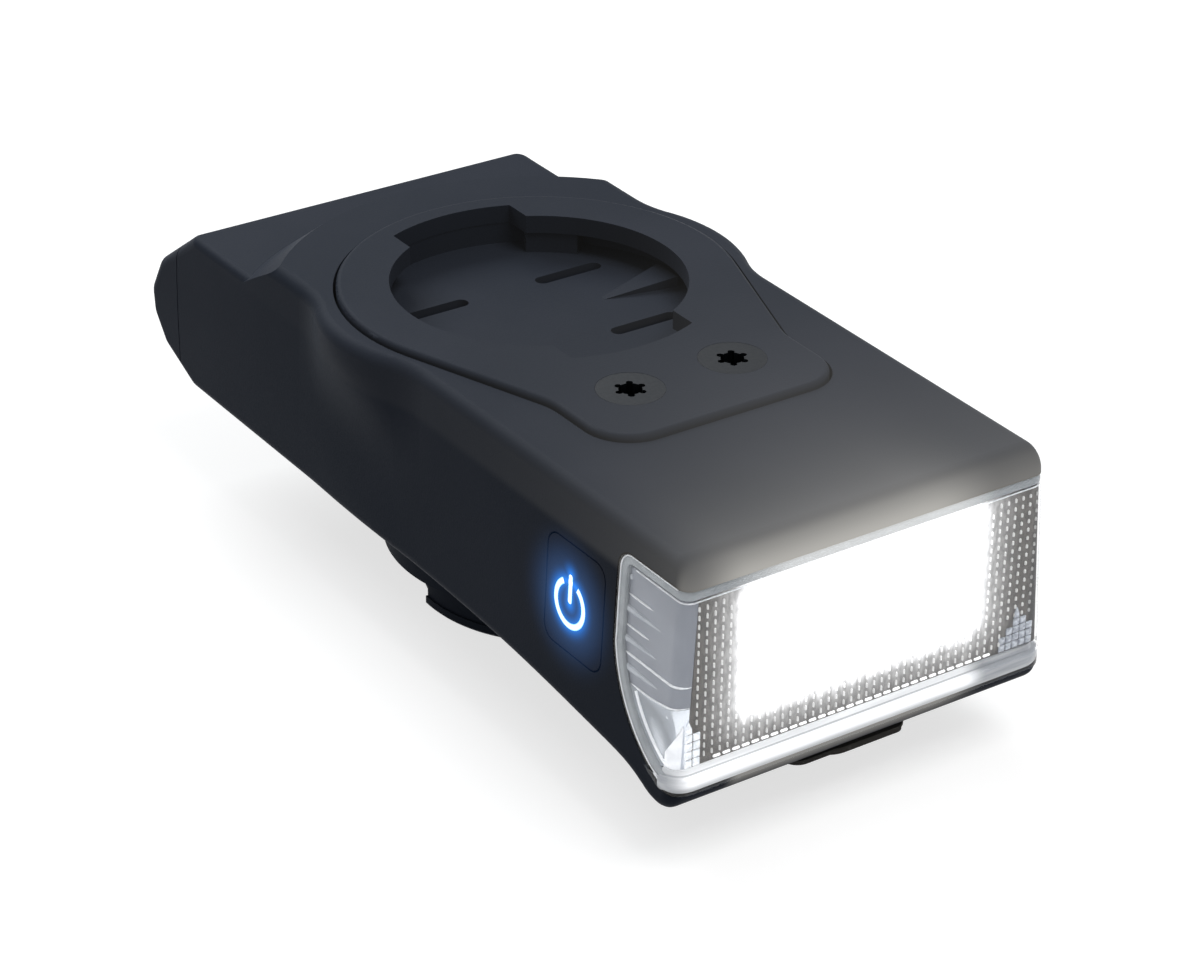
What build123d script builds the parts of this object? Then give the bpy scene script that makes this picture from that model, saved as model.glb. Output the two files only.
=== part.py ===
from build123d import *
import math
import os
from collections import Counter

# Bicycle headlight that sits between an out-front mount and a bicycle computer.
# All sizes are in millimetres. The origin is on the foot's end face, below the socket's centre.
# +Z is up through the socket, -Y is the way the beam points, +X is the lamp's right
# as seen from the front.

os.makedirs("parts", exist_ok=True)

# Body
FRONT_Y = -47.1
SEAM_Y = 33.0
REAR_Y = 38.7
TOP_Z = 27.5
DECK_Z = 24.6
BELLY_Z = 9.0
CHIN_Z = 5.35
BELLY_BENDS = ((-24.0, 8.5), (-37.5, 7.2), (-42.0, 6.3))
CHIN_START_Y = -45.0
BELLY_FLAT_Y = -2.0
KEEL_MID = (-24.0, 7.6)
KEEL_HALF = 8.0
KEEL_START_Y = -43.0
KEEL_HIGH_Z = 9.5
KEEL_EDGE_R = 0.8
EDGE_R = 1.1
NOSE_R = 2.0
DECK_EDGE_R = 0.7
PLATFORM_FOOT_R = 26.6
PLATFORM_TAPER = 51.9
DECK_SPACE_H = 6.0
DECK_SPACE_L = 40.0
DECK_SPACE_Y = 30.0
SIDE_SPAN = 30.0
SEAM_GAP = 0.12
TAIL_POINTS = (
    (26.4, TOP_Z),
    (36.8, 20.0),
    (REAR_Y, 16.6),
    (REAR_Y - 0.3, 14.0),
    (36.3, 11.3),
    (31.0, BELLY_Z),
)
CUT_SPAN = 80.0
NOSE_CUT_Y = FRONT_Y - 5
OVERLAP = 0.1

# Plan sections of the body: height, half width at the front, half width at the seam,
# and how far the shelf round the socket stands out.
HULL_SECTIONS = (
    (CHIN_Z - 2.0, 18.75, 18.3, 0.06),
    (9.0, 18.6, 18.3, 0.06),
    (14.0, 18.3, 18.3, 0.06),
    (18.0, 18.05, 18.25, 0.10),
    (21.0, 17.9, 18.15, 0.75),
    (24.0, 17.7, 18.05, 1.7),
    (TOP_Z + 0.5, 17.5, 17.9, 1.85),
)
SHELF_YS = (-9.4, -5.4, 0.6, 6.6, 10.6)
SHELF_SHARE = (0.0, 0.4, 1.0, 0.4, 0.0)

# Inside of the body
CAVITY_HALF = 16.0
CAVITY_FLOOR_Z = 10.6
CAVITY_TOP_Z = 21.2
BAY_TOP_Z = 22.6
BAY_REAR_Y = -29.7
CHAMBER_REAR_Y = -38.4
CHAMBER_FLOOR_Z = 8.6
CHAMBER_TOP_Z = 24.0

# Lens
LENS_REAR_Y = -38.4
LENS_LOW_Z = 7.3
LENS_HIGH_Z = 25.2
LENS_HIGH_R = 1.6
LENS_ARC = ((-47.0, LENS_LOW_Z), (-41.5, 10.7), (LENS_REAR_Y, 17.0))
LENS_GAP = 0.15
LENS_FRONT_T = 0.7
LENS_LIP_T = 1.2
LENS_IN_TOP = 17.0
LENS_IN_LOW = 17.9
LENS_IN_R = 0.5
LENS_CORNER_R = 1.0
LENS_INSET = 0.3
LEDGE_OUT = 0.5
LEDGE_HIGH_Z = 8.75
LEDGE_HALF = 18.9
LEDGE_DEPTH = 8.0
LEDGE_R = 2.2

# Mount insert and socket
RIM_Z = 28.0
POCKET_Z = 23.0
FLOOR_Z = 24.3
RING_R = 17.6
NECK_KNEE = (11.7, -20.0)
NECK_FRONT = (11.6, -28.85)
NECK_KNEE_R = 6.0
NECK_FRONT_R = 4.0
POCKET_GAP = 0.25
RIM_R = 0.45
SOCKET_R = 13.0
SOCKET_WALL_R = 15.6
LIP_T = 1.7
NOTCH_R = 15.55
NOTCH_HALF = 6.1
STOP_IN_R = 13.25
STOP_FROM = 42.0
STOP_TO = 62.0
SLOT_Y = 6.0
SLOT_IN_X = 3.6
SLOT_OUT_X = 10.4
SLOT_W = 1.4
DETENT_TIP_X = 6.7
DETENT_END_X = 13.6
DETENT_HALF = 1.6
DETENT_H = 1.0
DETENT_TIP_W = 0.5
DETENT_TIP_H = 0.12
CORE_HOLE_R = 12.2
CORE_HOLE_FROM = 150.0
CORE_HOLE_TO = 176.0

# Insert screws and their brass nuts
SCREW_X = 5.12
SCREW_Y = -21.45
HEAD_TOP_Z = RIM_Z - 0.02
HEAD_R = 2.9
HEAD_GAP = 0.05
SHANK_R = 1.45
CLEAR_R = 1.65
SCREW_END_Z = 19.4
NUT_R = 2.3
NUT_LOW_Z = 18.95
NUT_HIGH_Z = 22.9
NUT_BOSS_R = 3.6
NUT_BOSS_Z = 18.6
DRIVE_DEPTH = 1.2
DRIVE_CORE_R = 1.0
DRIVE_LOBE_R = 0.3
DRIVE_LOBE_AT = 1.12

# Quarter-turn foot
FOOT_Y = -2.4
PEDESTAL_R = 15.2
PEDESTAL_Z = 4.6
HUB_R = 12.9
NECK_R = 12.7
TAB_R = 15.25
TAB_LOW_Z = 1.0
TAB_HIGH_Z = 2.8
TAB_HALF_ANGLE = 22.0
HUB_CHAMFER = 0.3
HUB_GAP_IN_R = 11.7
HUB_GAP_FROM = 128.0
HUB_GAP_TO = 176.0
TAB_CORNER_R = 0.9
TAB_NOTCH_IN_R = 13.2
TAB_NOTCH_W = 1.4
TAB_NOTCH_D = 0.5
FOOT_SCREW_AT = 6.6
FOOT_SCREW_R = 1.2
FOOT_SCREW_GAP = 0.1
FOOT_SCREW_LOW_Z = 4.8
FOOT_HEAD_R = 2.3
FOOT_HEAD_H = 1.4
FOOT_NUT_R = 1.9
FOOT_NUT_Z = 4.4
FOOT_NUT_TOP_Z = 8.3

# Power button
BUTTON_Y = -32.85
BUTTON_Z = 17.7
BUTTON_W = 7.9
BUTTON_H = 9.5
BUTTON_CORNER_R = 1.3
BUTTON_GAP = 0.15
OUTSIDE_X = -22.0
BUTTON_IN_X = -16.3
FLANGE_X = -15.9
FLANGE_IN_X = -15.1
FLANGE_W = 10.0
FLANGE_CORNER_R = 1.0
STEP_W = 7.5
STEP_H = 6.8
FLANGE_LOW_Z = 13.6
FLANGE_HIGH_Z = 21.0
NUB_R = 1.2
PLUNGER_R = 0.9
PLUNGER_GAP = 0.08
PLUNGER_X = -14.6
PLUNGER_END_X = -13.0
SWITCH_X = -13.3
SWITCH_END_X = -10.3
SWITCH_W = 2.9
SWITCH_H = 3.5
SWITCH_CORNER_R = 0.3
SWITCH_BORE_L = 1.0
BUTTON_LED_LOW = (-13.3, -31.0)
BUTTON_LED_HIGH = (-11.9, -30.0)
BUTTON_LED_H = 0.6
SEAL_X = -16.9
SEAL_T = 0.7
SEAL_W = 0.6
SEAL_GAP = 0.05
MARK_Y = -32.2
MARK_Z = 17.2
MARK_R = 2.2
MARK_STROKE = 0.55
MARK_OPEN = 60.0
MARK_BAR = 2.6
MARK_DEPTH_X = -16.95
MARK_BACK_X = -16.55
MARK_BACK_R = 2.4

# Charging port and its cover
PORT_Y = -30.5
PORT_HALF = 4.47
PORT_T = 3.2
PORT_MOUTH_Z = 8.9
PORT_WALL = 0.35
PORT_DEPTH = 5.0
TONGUE_HALF = 3.37
TONGUE_T = 0.7
TONGUE_INSET = 0.6
WELL_HALF = 5.2
WELL_T = 4.6
COVER_HALF = 6.0
COVER_GAP = 0.3
COVER_FRONT_Y = -46.0
COVER_STEP_Y = -37.8
COVER_TOP_Z = 8.3
RECESS_TOP_Z = 8.5
HINGE_Y = -26.65
HINGE_SLIT = 0.05
COVER_HINGE_Z = 6.3
COVER_LOW_Z = 4.85
COVER_MID_Z = 4.95
COVER_UNDER_Z = 5.25
COVER_TIP_R = 1.5
PLUG_W = 7.4
PLUG_T = 1.6
PLUG_H = 0.55
TAB_LIP_LEFT_X = -3.4
TAB_LIP_RIGHT_X = 5.4
TAB_LIP_FRONT_Y = -46.15
TAB_LIP_REAR_Y = -43.0
TAB_LIP_LOW_Z = 4.7
TAB_LIP_LEFT_R = 2.6
TAB_LIP_RIGHT_R = 0.9
ANCHOR_REAR_Y = -23.4
ANCHOR_LOW_Z = 7.5
ANCHOR_STEM_R = 1.2
ANCHOR_STEM_AT = 3.6
ANCHOR_STEM_Y = -25.0
ANCHOR_BARB_R = 1.8
ANCHOR_BARB_H = 0.7
ANCHOR_BARB_TAPER = 20.0

# Light unit
LED_BOARD_T = 1.0
LED_BOARD_HALF = 14.5
LED_BOARD_LOW_Z = 8.9
LED_BOARD_HIGH_Z = 23.7
LED_SIZE = 3.5
LED_CORNER_R = 0.4
LED_T = 0.8
LED_PITCH = 8.0
LED_Z = 16.2
OPTIC_LOW_HALF = 16.7
OPTIC_HIGH_HALF = 15.85
OPTIC_LOW_Z = 9.0
OPTIC_HIGH_Z = 23.5
OPTIC_FRONT_Y = -45.7
OPTIC_BACK_Y = -44.6
OPTIC_CORNER_R = 0.6
GUIDE_FRONT_Y = -44.5
GUIDE_BACK_Y = -38.6
GUIDE_LOW_Z = 14.0
GUIDE_HIGH_Z = 23.6
GUIDE_OUT_X = 16.8
GUIDE_IN_X = 15.95
GUIDE_RIB_LOW_Z = 15.05
GUIDE_RIB_PITCH = 1.33
GUIDE_RIBS = 6
GUIDE_RIB_T = 0.12
GUIDE_RIB_FRONT_Y = -43.6
SHARP_RIB_W = 0.25
SOFT_RIB_W = 0.8
REFLECTOR_HALF = 14.6
REFLECTOR_FRONT_Y = -44.5
REFLECTOR_BACK_Y = -39.45
REFLECTOR_LOW_Z = 8.8
REFLECTOR_HIGH_Z = 23.5
FUNNEL_BACK = (23.0, 5.2)
FUNNEL_FRONT = (28.0, 13.4)
FUNNEL_R = 1.0
CHEEK_OUT_X = 17.15
CHEEK_HIGH_Z = 13.8
BOWL_R = 3.2
BOWL_X = 18.55
BOWL_Y = -42.0
BOWL_Z = 11.3
SINK_HALF = 10.8
SINK_LOW_Z = 10.9
SINK_HIGH_Z = 22.0
SINK_REAR_Y = -34.6
SINK_BASE_T = 1.3
SINK_FINS = 8
SINK_FIN_T = 0.8

# Battery and boards
BATTERY_HALF = 14.4
BATTERY_FRONT_Y = -22.0
BATTERY_REAR_Y = 18.5
BATTERY_LOW_Z = 12.3
BATTERY_HIGH_Z = 18.3
BATTERY_EDGE_R = 1.8
PAD_HALF = 11.5
PAD_L = 5.0
PAD_YS = (-16.0, 13.5)
BOARD_T = 0.8
MAIN_BOARD_Z = 19.0
MAIN_BOARD_HALF = 14.6
MAIN_BOARD_FRONT_Y = -16.6
MAIN_BOARD_REAR_Y = 26.0
FRONT_BOARD_Z = 15.15
FRONT_BOARD_HALF = 13.6
FRONT_BOARD_FRONT_Y = -34.4
FRONT_BOARD_REAR_Y = -26.0
BOARD_SCREW_X = 11.5
BOARD_SCREW_Y = 21.5
BOARD_SCREW_R = 0.9
BOARD_SCREW_GAP = 0.15
BOARD_SCREW_HOLE_L = 2.6
BOARD_SCREW_L = 2.4
BOARD_HEAD_R = 1.7
BOARD_HEAD_H = 0.9
BOARD_BOSS_R = 2.3
WIRE_R = 0.5
RIBBON_HALF = 1.3
RIBBON_T = 0.2
RIBBON_GAP = 0.1
RIBBON_DROP = 0.45
RIBBON_FRONT_Y = -28.4
RIBBON_BEND_Y = -24.0
RIBBON_REAR_Y = -15.4
CONNECTOR_HALF = 2.6
CONNECTOR_H = 2.2
CONNECTOR_FRONT_Y = 22.4
CONNECTOR_REAR_Y = 25.4
BATTERY_WIRE_X = 1.2
BATTERY_WIRE_LOW_Z = 15.2
BATTERY_WIRE_HIGH_Z = 17.9
BATTERY_WIRE_REACH = 1.95
BATTERY_WIRE_BEND_R = 1.25
LAMP_WIRE_XS = (11.9, 13.1)
LAMP_WIRE_Z = 18.0
LAMP_WIRE_Y = -33.2
LAMP_WIRE_BEND_R = 1.4

# Blocks on the main board: centre x and y, width, length and height
CHIP_BLOCKS = (
    (-9.0, -10.0, 5.0, 5.0, 0.9),
    (0.0, -8.0, 3.6, 3.6, 0.8),
    (8.5, -9.0, 4.2, 4.2, 1.2),
    (-8.0, 6.0, 3.0, 4.0, 0.9),
    (2.0, 8.0, 6.0, 3.0, 1.0),
    (10.0, 9.0, 2.0, 1.2, 0.6),
)

# Rear cap
CAP_SPIGOT_Y = 31.2
CAP_GROOVE_Y = 32.0
CAP_GAP = 0.1
CAP_GROOVE_D = 0.95
CAP_SCREW_X = 12.9
CAP_SCREW_Z = 15.6
CAP_SCREW_R = 1.0
CAP_HEAD_R = 1.9
CAP_HEAD_Y = 35.9
CAP_HEAD_H = 1.3
CAP_BOSS_R = 2.9
CAP_BOSS_FRONT_Y = 24.0
CAP_BOSS_REAR_Y = 31.0
CAP_WEB_HALF = 1.2
CAP_NUT_R = 1.7
CAP_NUT_L = 4.0
CAP_NUT_HOLE_L = 5.5
CAP_CLEARANCE = 0.15
CAP_SCREW_L = 9.0
CAP_HEX_R = 0.95
CAP_HEX_DEPTH = 0.8
CAP_HOLLOW_INSET = 1.6
CAP_HOLLOW_HALF = 9.2
CAP_HOLLOW_REAR_Y = 36.2


def side_x(y, half_front, half_rear):
    """Half width of a straight-sided section at station y."""
    return half_front + (half_rear - half_front) * (y - FRONT_Y) / (SEAM_Y - FRONT_Y)


def plan_section(z, half_front, half_rear, shelf):
    """Closed plan outline at height z, with the shelf's convex arc between two hollow ones."""
    knots = [(side_x(y, half_front, half_rear) + shelf * share, y) for y, share in zip(SHELF_YS, SHELF_SHARE)]
    front = (side_x(FRONT_Y - 1, half_front, half_rear), FRONT_Y - 1)
    rear = (side_x(REAR_Y + 1, half_front, half_rear), REAR_Y + 1)
    along = (half_rear - half_front, SEAM_Y - FRONT_Y)
    with BuildSketch(Plane.XY.offset(z)) as section:
        with BuildLine():
            Line((0, front[1]), front)
            Line(front, knots[0])
            TangentArc(knots[0], knots[1], tangent=along)
            ThreePointArc(knots[1], knots[2], knots[3])
            TangentArc(knots[4], knots[3], tangent=(-along[0], -along[1]))
            Line(knots[4], rear)
            Line(rear, (0, rear[1]))
            mirror(about=Plane.YZ)
        make_face()
    return section.sketch


def edge_key(edge):
    """Rounded middle and length of an edge, to recognise it on two faces."""
    middle = edge.center()
    return tuple(round(v, 3) for v in (middle.X, middle.Y, middle.Z, edge.length))


def rim_of_sides(solid):
    """The edges where the lofted side walls meet the top, the belly, the nose and the tail."""
    walls = [face for face in solid.faces() if face.geom_type == GeomType.BSPLINE]
    seen = Counter(edge_key(edge) for face in walls for edge in face.edges())
    return [edge for edge in solid.edges() if seen.get(edge_key(edge), 0) == 1]


def box_between(low, high):
    """A plain block between two corners, made apart from the part in hand."""
    size = [high[i] - low[i] for i in range(3)]
    middle = [(high[i] + low[i]) / 2 for i in range(3)]
    return Pos(*middle) * Box(*size, mode=Mode.PRIVATE)


def insert_outline(grow=0.0):
    """Keyhole outline of the mount insert: a ring with a tapering neck towards the lens."""
    knee_x, knee_y = NECK_KNEE
    ring_share = math.degrees(math.acos(RING_R / math.hypot(knee_x, knee_y)))
    tangent_angle = math.degrees(math.atan2(knee_y, knee_x)) + ring_share
    with BuildSketch() as outline:
        with BuildLine():
            ring = CenterArc((0, 0), RING_R, tangent_angle, 180 - 2 * tangent_angle)
            Polyline(
                ring @ 1,
                (-knee_x, knee_y),
                (-NECK_FRONT[0], NECK_FRONT[1]),
                NECK_FRONT,
                NECK_KNEE,
                ring @ 0,
            )
        make_face()
        fillet(outline.vertices().group_by(Axis.Y)[0], NECK_FRONT_R)
        knees = [v for v in outline.vertices() if abs(v.Y - knee_y) < 0.01]
        fillet(knees, NECK_KNEE_R)
        if grow:
            offset(amount=grow)
    return outline.sketch


def button_outline(grow):
    """The button's rounded outline on a vertical plane that faces along X."""
    with BuildSketch() as outline:
        RectangleRounded(BUTTON_W + 2 * grow, BUTTON_H + 2 * grow, BUTTON_CORNER_R + grow)
    return outline.sketch


def foot_plane(z, turn=0.0):
    """A level plane at height z about the foot's own axis."""
    return Plane(origin=(0, FOOT_Y, z)).rotated((0, 0, turn))


def side_plane(x, y=BUTTON_Y, z=BUTTON_Z):
    """A plane at x that faces the lamp's right, with its own x along Y."""
    return Plane(origin=(x, y, z), x_dir=(0, 1, 0), z_dir=(1, 0, 0))


def lens_profile(grow=0.0):
    """Side view of the lens window: open towards the front, with one long arc below and behind."""
    arc_start, arc_middle, arc_end = LENS_ARC
    with BuildSketch() as outline:
        with BuildLine():
            Line((NOSE_CUT_Y, LENS_LOW_Z), arc_start)
            ThreePointArc(arc_start, arc_middle, arc_end)
            Polyline(
                arc_end,
                (LENS_REAR_Y, LENS_HIGH_Z),
                (NOSE_CUT_Y, LENS_HIGH_Z),
                (NOSE_CUT_Y, LENS_LOW_Z),
            )
        make_face()
        fillet(outline.vertices().sort_by_distance((LENS_REAR_Y, LENS_HIGH_Z, 0))[0], LENS_HIGH_R)
        if grow:
            offset(amount=grow)
    return outline.sketch


# Outer form of the whole body, which the housing, the rear cap and the lens share
with BuildPart() as body_form:
    for section_row in HULL_SECTIONS:
        add(plan_section(*section_row))
    loft()
    with BuildSketch(Plane.YZ) as side_view:
        with BuildLine():
            Polyline(
                (CHIN_START_Y, CHIN_Z),
                (FRONT_Y, CHIN_Z),
                (FRONT_Y, TOP_Z),
                *TAIL_POINTS,
                (BELLY_FLAT_Y, BELLY_Z),
            )
            Spline(
                (BELLY_FLAT_Y, BELLY_Z),
                *BELLY_BENDS,
                (CHIN_START_Y, CHIN_Z),
                tangents=((-1, 0), (-1, 0)),
            )
        make_face()
        for bend in ((FRONT_Y, TOP_Z), (FRONT_Y, CHIN_Z), *TAIL_POINTS):
            fillet(side_view.vertices().sort_by_distance((*bend, 0))[0], NOSE_R)
    extrude(amount=SIDE_SPAN, both=True, mode=Mode.INTERSECT)
    fillet(rim_of_sides(body_form.part), EDGE_R)

# Keel along the middle of the belly, which carries the charging port's cover
with BuildPart() as keel:
    with BuildSketch(Plane.YZ.offset(-KEEL_HALF)):
        with BuildLine():
            Polyline(
                (KEEL_START_Y, CHIN_Z),
                (KEEL_START_Y, KEEL_HIGH_Z),
                (BELLY_FLAT_Y, KEEL_HIGH_Z),
                (BELLY_FLAT_Y, BELLY_Z),
            )
            Spline(
                (BELLY_FLAT_Y, BELLY_Z),
                KEEL_MID,
                (KEEL_START_Y, CHIN_Z),
                tangents=((-1, 0), (-1, 0)),
            )
        make_face()
    extrude(amount=2 * KEEL_HALF)
    keel_edges = [edge for edge in keel.edges().filter_by(GeomType.BSPLINE) if abs(edge.center().X) > 1]
    fillet(keel_edges, KEEL_EDGE_R)

# The space over the rear deck, behind the round platform's sloping wall
with BuildPart() as deck_space:
    with BuildSketch(Plane.XY.offset(DECK_Z)):
        with Locations((0, DECK_SPACE_Y)):
            Rectangle(2 * SIDE_SPAN, DECK_SPACE_L)
    extrude(amount=DECK_SPACE_H)
    with BuildSketch(Plane.XY.offset(DECK_Z)):
        Circle(PLATFORM_FOOT_R)
    extrude(amount=DECK_SPACE_H, taper=PLATFORM_TAPER, mode=Mode.SUBTRACT)

with BuildPart() as body_shape:
    add(body_form.part)
    add(keel.part)
    add(deck_space.part, mode=Mode.SUBTRACT)
    deck_edges = [
        edge
        for edge in body_shape.edges()
        if abs(edge.center().Z - DECK_Z) < 0.05 and abs(edge.center().X) > 15
    ]
    fillet(deck_edges, DECK_EDGE_R)

# Main housing: a sleeve that is open at the front for the lens and at the rear for the cap
with BuildPart() as main_housing:
    add(body_shape.part)
    add(box_between((-CUT_SPAN, SEAM_Y, 0), (CUT_SPAN, CUT_SPAN, CUT_SPAN)), mode=Mode.SUBTRACT)
    add(
        box_between(
            (-CAVITY_HALF, CHAMBER_REAR_Y, CAVITY_FLOOR_Z), (CAVITY_HALF, SEAM_Y + 1, CAVITY_TOP_Z)
        ),
        mode=Mode.SUBTRACT,
    )
    add(
        box_between((-CAVITY_HALF, CHAMBER_REAR_Y, CAVITY_FLOOR_Z), (CAVITY_HALF, BAY_REAR_Y, BAY_TOP_Z)),
        mode=Mode.SUBTRACT,
    )
    add(
        box_between(
            (-CAVITY_HALF, NOSE_CUT_Y, CHAMBER_FLOOR_Z), (CAVITY_HALF, CHAMBER_REAR_Y, CHAMBER_TOP_Z)
        ),
        mode=Mode.SUBTRACT,
    )
    # Lens window, cut through the nose and both side walls
    with BuildSketch(Plane.YZ.offset(-SIDE_SPAN)):
        add(lens_profile(LENS_GAP))
    extrude(amount=2 * SIDE_SPAN, mode=Mode.SUBTRACT)
    # Bosses for the insert's nuts, the rear cap's nuts and the main board
    with BuildSketch(Plane.XY.offset(NUT_BOSS_Z)):
        with Locations((-SCREW_X, SCREW_Y), (SCREW_X, SCREW_Y)):
            Circle(NUT_BOSS_R)
    extrude(amount=POCKET_Z - NUT_BOSS_Z)
    with BuildSketch(Plane.XY.offset(MAIN_BOARD_Z + BOARD_T)):
        with Locations((-BOARD_SCREW_X, BOARD_SCREW_Y), (BOARD_SCREW_X, BOARD_SCREW_Y)):
            Circle(BOARD_BOSS_R)
    extrude(amount=CAVITY_TOP_Z + OVERLAP - MAIN_BOARD_Z - BOARD_T)
    with BuildSketch(Plane.XZ.offset(-CAP_BOSS_FRONT_Y)):
        with Locations((-CAP_SCREW_X, CAP_SCREW_Z), (CAP_SCREW_X, CAP_SCREW_Z)):
            Circle(CAP_BOSS_R)
    extrude(amount=CAP_BOSS_FRONT_Y - CAP_BOSS_REAR_Y)
    for sign in (-1, 1):
        web_xs = sorted((sign * CAP_SCREW_X, sign * (CAVITY_HALF + OVERLAP)))
        add(
            box_between(
                (web_xs[0], CAP_BOSS_FRONT_Y, CAP_SCREW_Z - CAP_WEB_HALF),
                (web_xs[1], CAP_BOSS_REAR_Y, CAP_SCREW_Z + CAP_WEB_HALF),
            )
        )
    with BuildSketch(Plane.XZ.offset(-CAP_BOSS_REAR_Y)):
        with Locations((-CAP_SCREW_X, CAP_SCREW_Z), (CAP_SCREW_X, CAP_SCREW_Z)):
            Circle(CAP_NUT_R)
    extrude(amount=CAP_NUT_HOLE_L, mode=Mode.SUBTRACT)
    # Pocket and nut holes for the mount insert
    with BuildSketch(Plane.XY.offset(POCKET_Z)):
        add(insert_outline(POCKET_GAP))
    extrude(amount=RIM_Z - POCKET_Z, mode=Mode.SUBTRACT)
    with BuildSketch(Plane.XY.offset(NUT_LOW_Z)):
        with Locations((-SCREW_X, SCREW_Y), (SCREW_X, SCREW_Y)):
            Circle(NUT_R)
    extrude(amount=POCKET_Z - NUT_LOW_Z + OVERLAP, mode=Mode.SUBTRACT)
    # Screw holes for the foot and the main board
    with BuildSketch(foot_plane(PEDESTAL_Z)):
        with GridLocations(2 * FOOT_SCREW_AT, 2 * FOOT_SCREW_AT, 2, 2):
            Circle(FOOT_SCREW_R + FOOT_SCREW_GAP)
    extrude(amount=CAVITY_FLOOR_Z - PEDESTAL_Z + OVERLAP, mode=Mode.SUBTRACT)
    with BuildSketch(Plane.XY.offset(MAIN_BOARD_Z)):
        with Locations((-BOARD_SCREW_X, BOARD_SCREW_Y), (BOARD_SCREW_X, BOARD_SCREW_Y)):
            Circle(BOARD_SCREW_R)
    extrude(amount=BOARD_SCREW_HOLE_L, mode=Mode.SUBTRACT)
    # Button opening with the groove for its seal
    with BuildSketch(side_plane(OUTSIDE_X)):
        add(button_outline(BUTTON_GAP))
    extrude(amount=-CAVITY_HALF + OVERLAP - OUTSIDE_X, mode=Mode.SUBTRACT)
    with BuildSketch(side_plane(SEAL_X)):
        add(button_outline(SEAL_W))
    extrude(amount=SEAL_T, mode=Mode.SUBTRACT)
    # Recess, well and stem holes for the charging port's cover
    add(
        box_between(
            (-COVER_HALF - COVER_GAP, COVER_STEP_Y - COVER_GAP, 0),
            (COVER_HALF + COVER_GAP, ANCHOR_REAR_Y + COVER_GAP, RECESS_TOP_Z),
        ),
        mode=Mode.SUBTRACT,
    )
    add(
        box_between(
            (-WELL_HALF, PORT_Y - WELL_T / 2, RECESS_TOP_Z - OVERLAP),
            (WELL_HALF, PORT_Y + WELL_T / 2, CAVITY_FLOOR_Z + OVERLAP),
        ),
        mode=Mode.SUBTRACT,
    )
    with BuildSketch(Plane.XY.offset(RECESS_TOP_Z - OVERLAP)):
        with Locations((-ANCHOR_STEM_AT, ANCHOR_STEM_Y), (ANCHOR_STEM_AT, ANCHOR_STEM_Y)):
            Circle(ANCHOR_STEM_R)
    extrude(amount=CAVITY_FLOOR_Z - RECESS_TOP_Z + 2 * OVERLAP, mode=Mode.SUBTRACT)
main_housing.part.label = "main_housing"
export_step(main_housing.part, "parts/main_housing.step")

# Front lens: one clear piece that wraps round both front corners, with a ledge along its foot
with BuildPart() as front_lens:
    add(body_shape.part)
    with BuildSketch(Plane.XY.offset(LENS_LOW_Z)):
        with Locations((0, FRONT_Y - LEDGE_OUT + LEDGE_DEPTH / 2)):
            RectangleRounded(2 * LEDGE_HALF, LEDGE_DEPTH, LEDGE_R)
    extrude(amount=LEDGE_HIGH_Z - LENS_LOW_Z)
    with BuildSketch(Plane.YZ.offset(-SIDE_SPAN)):
        add(lens_profile())
    extrude(amount=2 * SIDE_SPAN, mode=Mode.INTERSECT)
    with BuildSketch(Plane.XZ.offset(-LENS_REAR_Y - OVERLAP)) as inside:
        with BuildLine():
            Polyline(
                (-LENS_IN_LOW, LENS_LOW_Z + LENS_LIP_T),
                (LENS_IN_LOW, LENS_LOW_Z + LENS_LIP_T),
                (LENS_IN_TOP, LENS_HIGH_Z - LENS_LIP_T),
                (-LENS_IN_TOP, LENS_HIGH_Z - LENS_LIP_T),
                close=True,
            )
        make_face()
        fillet(inside.vertices(), LENS_IN_R)
    extrude(amount=LENS_REAR_Y + OVERLAP - FRONT_Y - LENS_FRONT_T, mode=Mode.SUBTRACT)
    inner_corners = [
        edge
        for edge in front_lens.edges()
        if abs(edge.center().Y - FRONT_Y - LENS_FRONT_T) < OVERLAP / 2
        and abs(edge.center().X) > LENS_IN_TOP
        and edge.length > LENS_IN_TOP / 2
    ]
    fillet(inner_corners, LENS_CORNER_R)
front_lens.part.label = "front_lens"
export_step(front_lens.part, "parts/front_lens.step")

# Black bead that seals the lens in its window
with BuildPart() as lens_gasket:
    add(body_shape.part)
    with BuildSketch(Plane.YZ.offset(-SIDE_SPAN)):
        add(lens_profile(LENS_GAP))
    extrude(amount=2 * SIDE_SPAN, mode=Mode.INTERSECT)
    with BuildSketch(Plane.YZ.offset(-SIDE_SPAN)):
        add(lens_profile())
    extrude(amount=2 * SIDE_SPAN, mode=Mode.SUBTRACT)
    add(
        box_between(
            (-CAVITY_HALF, NOSE_CUT_Y, CHAMBER_FLOOR_Z), (CAVITY_HALF, LENS_REAR_Y + 1, CHAMBER_TOP_Z)
        ),
        mode=Mode.SUBTRACT,
    )
lens_gasket.part.label = "lens_gasket"
export_step(lens_gasket.part, "parts/lens_gasket.step")

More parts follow.
